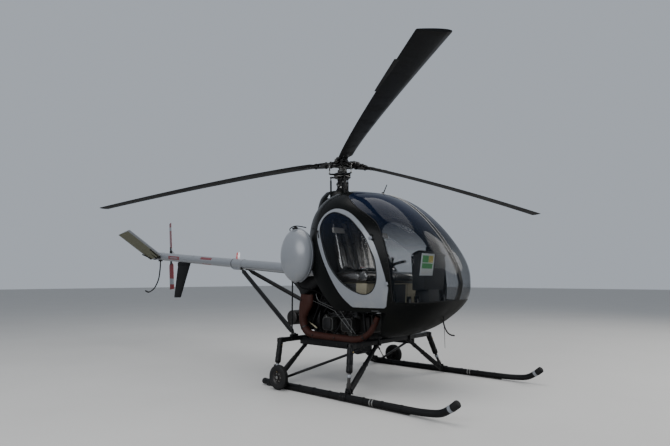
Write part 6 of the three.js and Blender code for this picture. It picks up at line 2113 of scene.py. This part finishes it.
def buildConsole():
    piece = Piece("console_body", darkTrim)
    piece.add(softened(prism(console["pedestal"], -console["half"], console["half"]), 0.012, 3))
    piece.add(softened(prism(console["head"], -console["headHalf"], console["headHalf"]), 0.018, 4))
    hood, wide = smoothed(console["hood"], 5), console["hoodHalf"]
    shape = prism([(p.x, p.y) for p in hood] + [(p.x, p.y - 0.01) for p in reversed(hood)], -wide, wide)
    piece.add(softened(shape, 0.003), darkTrim)
    face = shifted((1.158, 0, 1.255)) @ spun(-3.5, "Y")
    piece.spot = face
    piece.box((-0.006, -0.2, -0.18), (0.006, 0.2, 0.165), 0.004, gearPaint)
    for y, z, size in console["dials"]:
        piece.hoop([(size - 0.006, 0.006), (size, 0.006), (size, 0.012), (size - 0.003, 0.016),
            (size - 0.006, 0.013)], (0, y, z), (-1, 0, 0), 32, headPaint)
        piece.rod((-0.005, y, z), (-0.0085, y, z), size - 0.005, 32, sealRubber)
        for u, v in circle(console["ticks"]):
            start, end = (vec(-0.0088, y + u * size * reach, z + v * size * reach) for reach in (0.62, 0.78))
            piece.rod(start, end, 0.0008, 4, cardPale)
        turn = y * 9 + z * 31
        piece.rod((-0.0095, y, z), (-0.0095, y + cos(turn) * size * 0.55, z + sin(turn) * size * 0.55), 0.0012, 5,
            cardPale)
        piece.rod((-0.0085, y, z), (-0.011, y, z), 0.004, 12, headPaint)
    for step in range(console["switches"]):
        y = -0.105 + step * 0.03
        piece.rod((-0.006, y, -0.13), (-0.018, y, -0.124), 0.0035, 8, steel, endRadius=0.0022)
        piece.band(0.003, 0.007, 0, 0.003, (-0.006, y, -0.13), (-1, 0, 0), 12, steel)
    piece.box((-0.012, -0.08, -0.172), (0.0, 0.08, -0.148), 0.002, sealRubber)
    piece.spot = Matrix.Identity(4)
    for z in console["radios"]:  # radio trays down the pedestal
        piece.box((1.139, -0.085, z - 0.024), (1.15, 0.085, z + 0.024), 0.003, gearPaint)
        for y in (-0.07, 0.07):
            piece.turned([(0, 0), (0.011, 0), (0.009, 0.014), (0, 0.014)], (1.139, y, z), (-1, 0, 0), 18, darkTrim)
        piece.box((1.136, -0.045, z - 0.012), (1.141, 0.045, z + 0.012), 0.001, sealRubber)
    compass = turned([(0, 0), (0.03, 0), (0.036, 0.008), (0.036, 0.046), (0.028, 0.054), (0, 0.054)],
        (1.25, 0.0, 1.472), (0, 0, 1), 28)
    piece.add(compass, headPaint)
    piece.done(("instrument_console",), 35)
    card = Piece("console_card", cardPale)  # a card of plain colour blocks, clipped to the console's front
    lean = Matrix.Rotation(atan2(1.342 - 1.3, 1.33 - 1.06), 4, "Y")
    card.spot = shifted((1.344, -0.205, 1.3225)) @ lean @ Matrix.Diagonal((1, 1.34, 1.06, 1))
    card.box((-0.001, -0.098, -0.11), (0.002, 0.098, 0.11), 0.0008)
    for low, high, tone in (((-0.08, 0.02), (0.01, 0.09), cardGreen), ((0.014, 0.02), (0.08, 0.09), cardYellow),
            ((-0.08, -0.04), (0.08, 0.012), cardGreen)):
        card.add(block((0.0019, low[0], low[1]), (0.0026, high[0], high[1])), tone)
    for step in range(4):
        low, high = -0.056 - step * 0.012, -0.052 - step * 0.012
        card.add(block((0.0019, -0.078, low), (0.0025, 0.078 - 0.02 * (step % 2), high)), paleTrim)
    card.done(smooth=40)


def buildControls():
    for name, side in sides:
        stick = Piece(f"stick_{name}", headPaint)
        y = 0.3 * side
        path = smoothed([(1.01, y, 0.842), (1.004, y, 0.92), (0.995, y, 1.01), (0.962, y, 1.18), (0.955, y, 1.29),
            (0.966, y, 1.335)], 7)
        stick.tube(path, 0.0115, 20)
        stick.tube(smoothed([(0.958, y, 1.3), (0.963, y, 1.33), (0.972, y, 1.372), (0.976, y, 1.402)], 6),
            lambda share: 0.0165 + 0.0025 * sin(share * 9) - 0.003 * share, 20, sealRubber)
        stick.rod((0.97, y, 1.396), (0.962, y, 1.41), 0.005, 12, wireRed)
        boot = [(0.06, 0.842), (0.064, 0.85), (0.05, 0.858), (0.054, 0.866), (0.038, 0.876), (0.04, 0.884),
            (0.022, 0.896), (0.0125, 0.905), (0.0125, 0.842)]
        stick.hoop(boot, (1.009, y, 0), sides=36, finish=sealRubber)
        stick.done((f"control_stick_{name}",), 40)
    floor = Piece("cockpit_floor", darkTrim)
    z = seat["floor"]
    for side in (-1, 1):
        mat = [(0.79, 0.05), (1.19, 0.05), (1.19, 0.33), (1.08, 0.44), (0.79, 0.47)]
        shape = prism([(x, y) for x, y in mat], -0.006, 0.0)
        moved(shape, shifted((0, 0, z + 0.0015)) @ mirrored(side) @ Matrix.Rotation(pi / 2, 4, "X"))
        bmesh.ops.recalc_face_normals(shape, faces=shape.faces)
        floor.add(softened(shape, 0.002), sealRubber)
        for hand in (-0.075, 0.075):  # pedals
            y = 0.29 * side + hand
            floor.rod((1.235, y, z - 0.06), (1.225, y, z + 0.12), 0.0085, 14, steel)
            floor.box((1.205, y - 0.038, z + 0.085), (1.221, y + 0.038, z + 0.15), 0.005, gearPaint, segments=3)
            for rib in range(4):
                low, high = z + 0.094 + rib * 0.014, z + 0.099 + rib * 0.014
                floor.add(block((1.202, y - 0.032, low), (1.206, y + 0.032, high)), sealRubber)
    lever = smoothed([(0.56, 0.03, 1.175), (0.64, 0.02, 1.27), (0.79, 0.016, 1.345), (0.93, 0.016, 1.372)], 6)
    floor.tube(lever, 0.0105, 16, headPaint)  # one collective lever between the seats
    floor.tube(lever[-8:], 0.0165, 18, sealRubber)
    for side in (-1, 1):  # pale harness box on the outer shoulder of each seat back
        panel = Piece(f"head_panel_{'starboard' if side < 0 else 'port'}", paleTrim)
        panel.spot = shifted((0.318, 0.445 * side, 1.732)) @ spun(-14, "Y")
        panel.box((-0.014, -0.098, -0.031), (0.014, 0.098, 0.031), 0.008, segments=3)
        for y in (-0.08, 0.08):
            panel.bolt((0.014, y, 0.0), (1, 0, 0), 0.004, steel)
        panel.done(smooth=35)
    floor.done(smooth=40)


def dressBulkhead():  # the plain wall behind the seats keeps its shape and gets a trimmed finish
    wall = frame["nodes"]["seat_bulkhead"]
    wall.data.materials.clear()
    wall.data.materials.append(darkTrim.material)


def buildBelly():
    piece = Piece("pitot_head", darkSteel)
    path = smoothed([(1.332, 0.12, 0.736), (1.35, 0.12, 0.664), (1.378, 0.12, 0.606), (1.418, 0.12, 0.576),
        (1.464, 0.12, 0.57)], 7)
    piece.tube(path, 0.008, 18)
    piece.hoop([(0.0035, 0), (0.008, 0), (0.0068, 0.014), (0.0045, 0.016), (0.0035, 0.014)], (1.454, 0.12, 0.571),
        (1, 0, -0.1), 20)
    piece.done(("pitot_tube",), 40)
    under = Piece("belly_fittings", headPaint)
    foot = onBelly(1.408, 0)
    under.tube([foot, foot + vec(0.006, 0, -0.16), foot + vec(0.008, 0, -0.32)],
        lambda share: 0.0032 - 0.0012 * share, 8)
    under.turned([(0, 0.006), (0.01, 0.006), (0.01, -0.004), (0.005, -0.012), (0, -0.012)], foot, sides=24)
    for side in (-1, 1):
        for x in (0.62, 0.8, 0.98):
            spot = onBelly(x, 0.3 * side)
            under.turned([(0, 0.002), (0.012, 0.002), (0.011, -0.003), (0, -0.004)], spot, sides=20,
                finish=darkSteel)
    under.done(smooth=40)


def onBelly(x, y):
    top, bottom, half = hullAt(x)
    across = min(abs(y) / half, 1)
    return vec(x, y, (top + bottom) / 2 - (top - bottom) / 2 * hullFall(across))


buildSeat()
buildBelts()
buildConsole()
buildControls()
dressBulkhead()
buildBelly()
print("cockpit built")
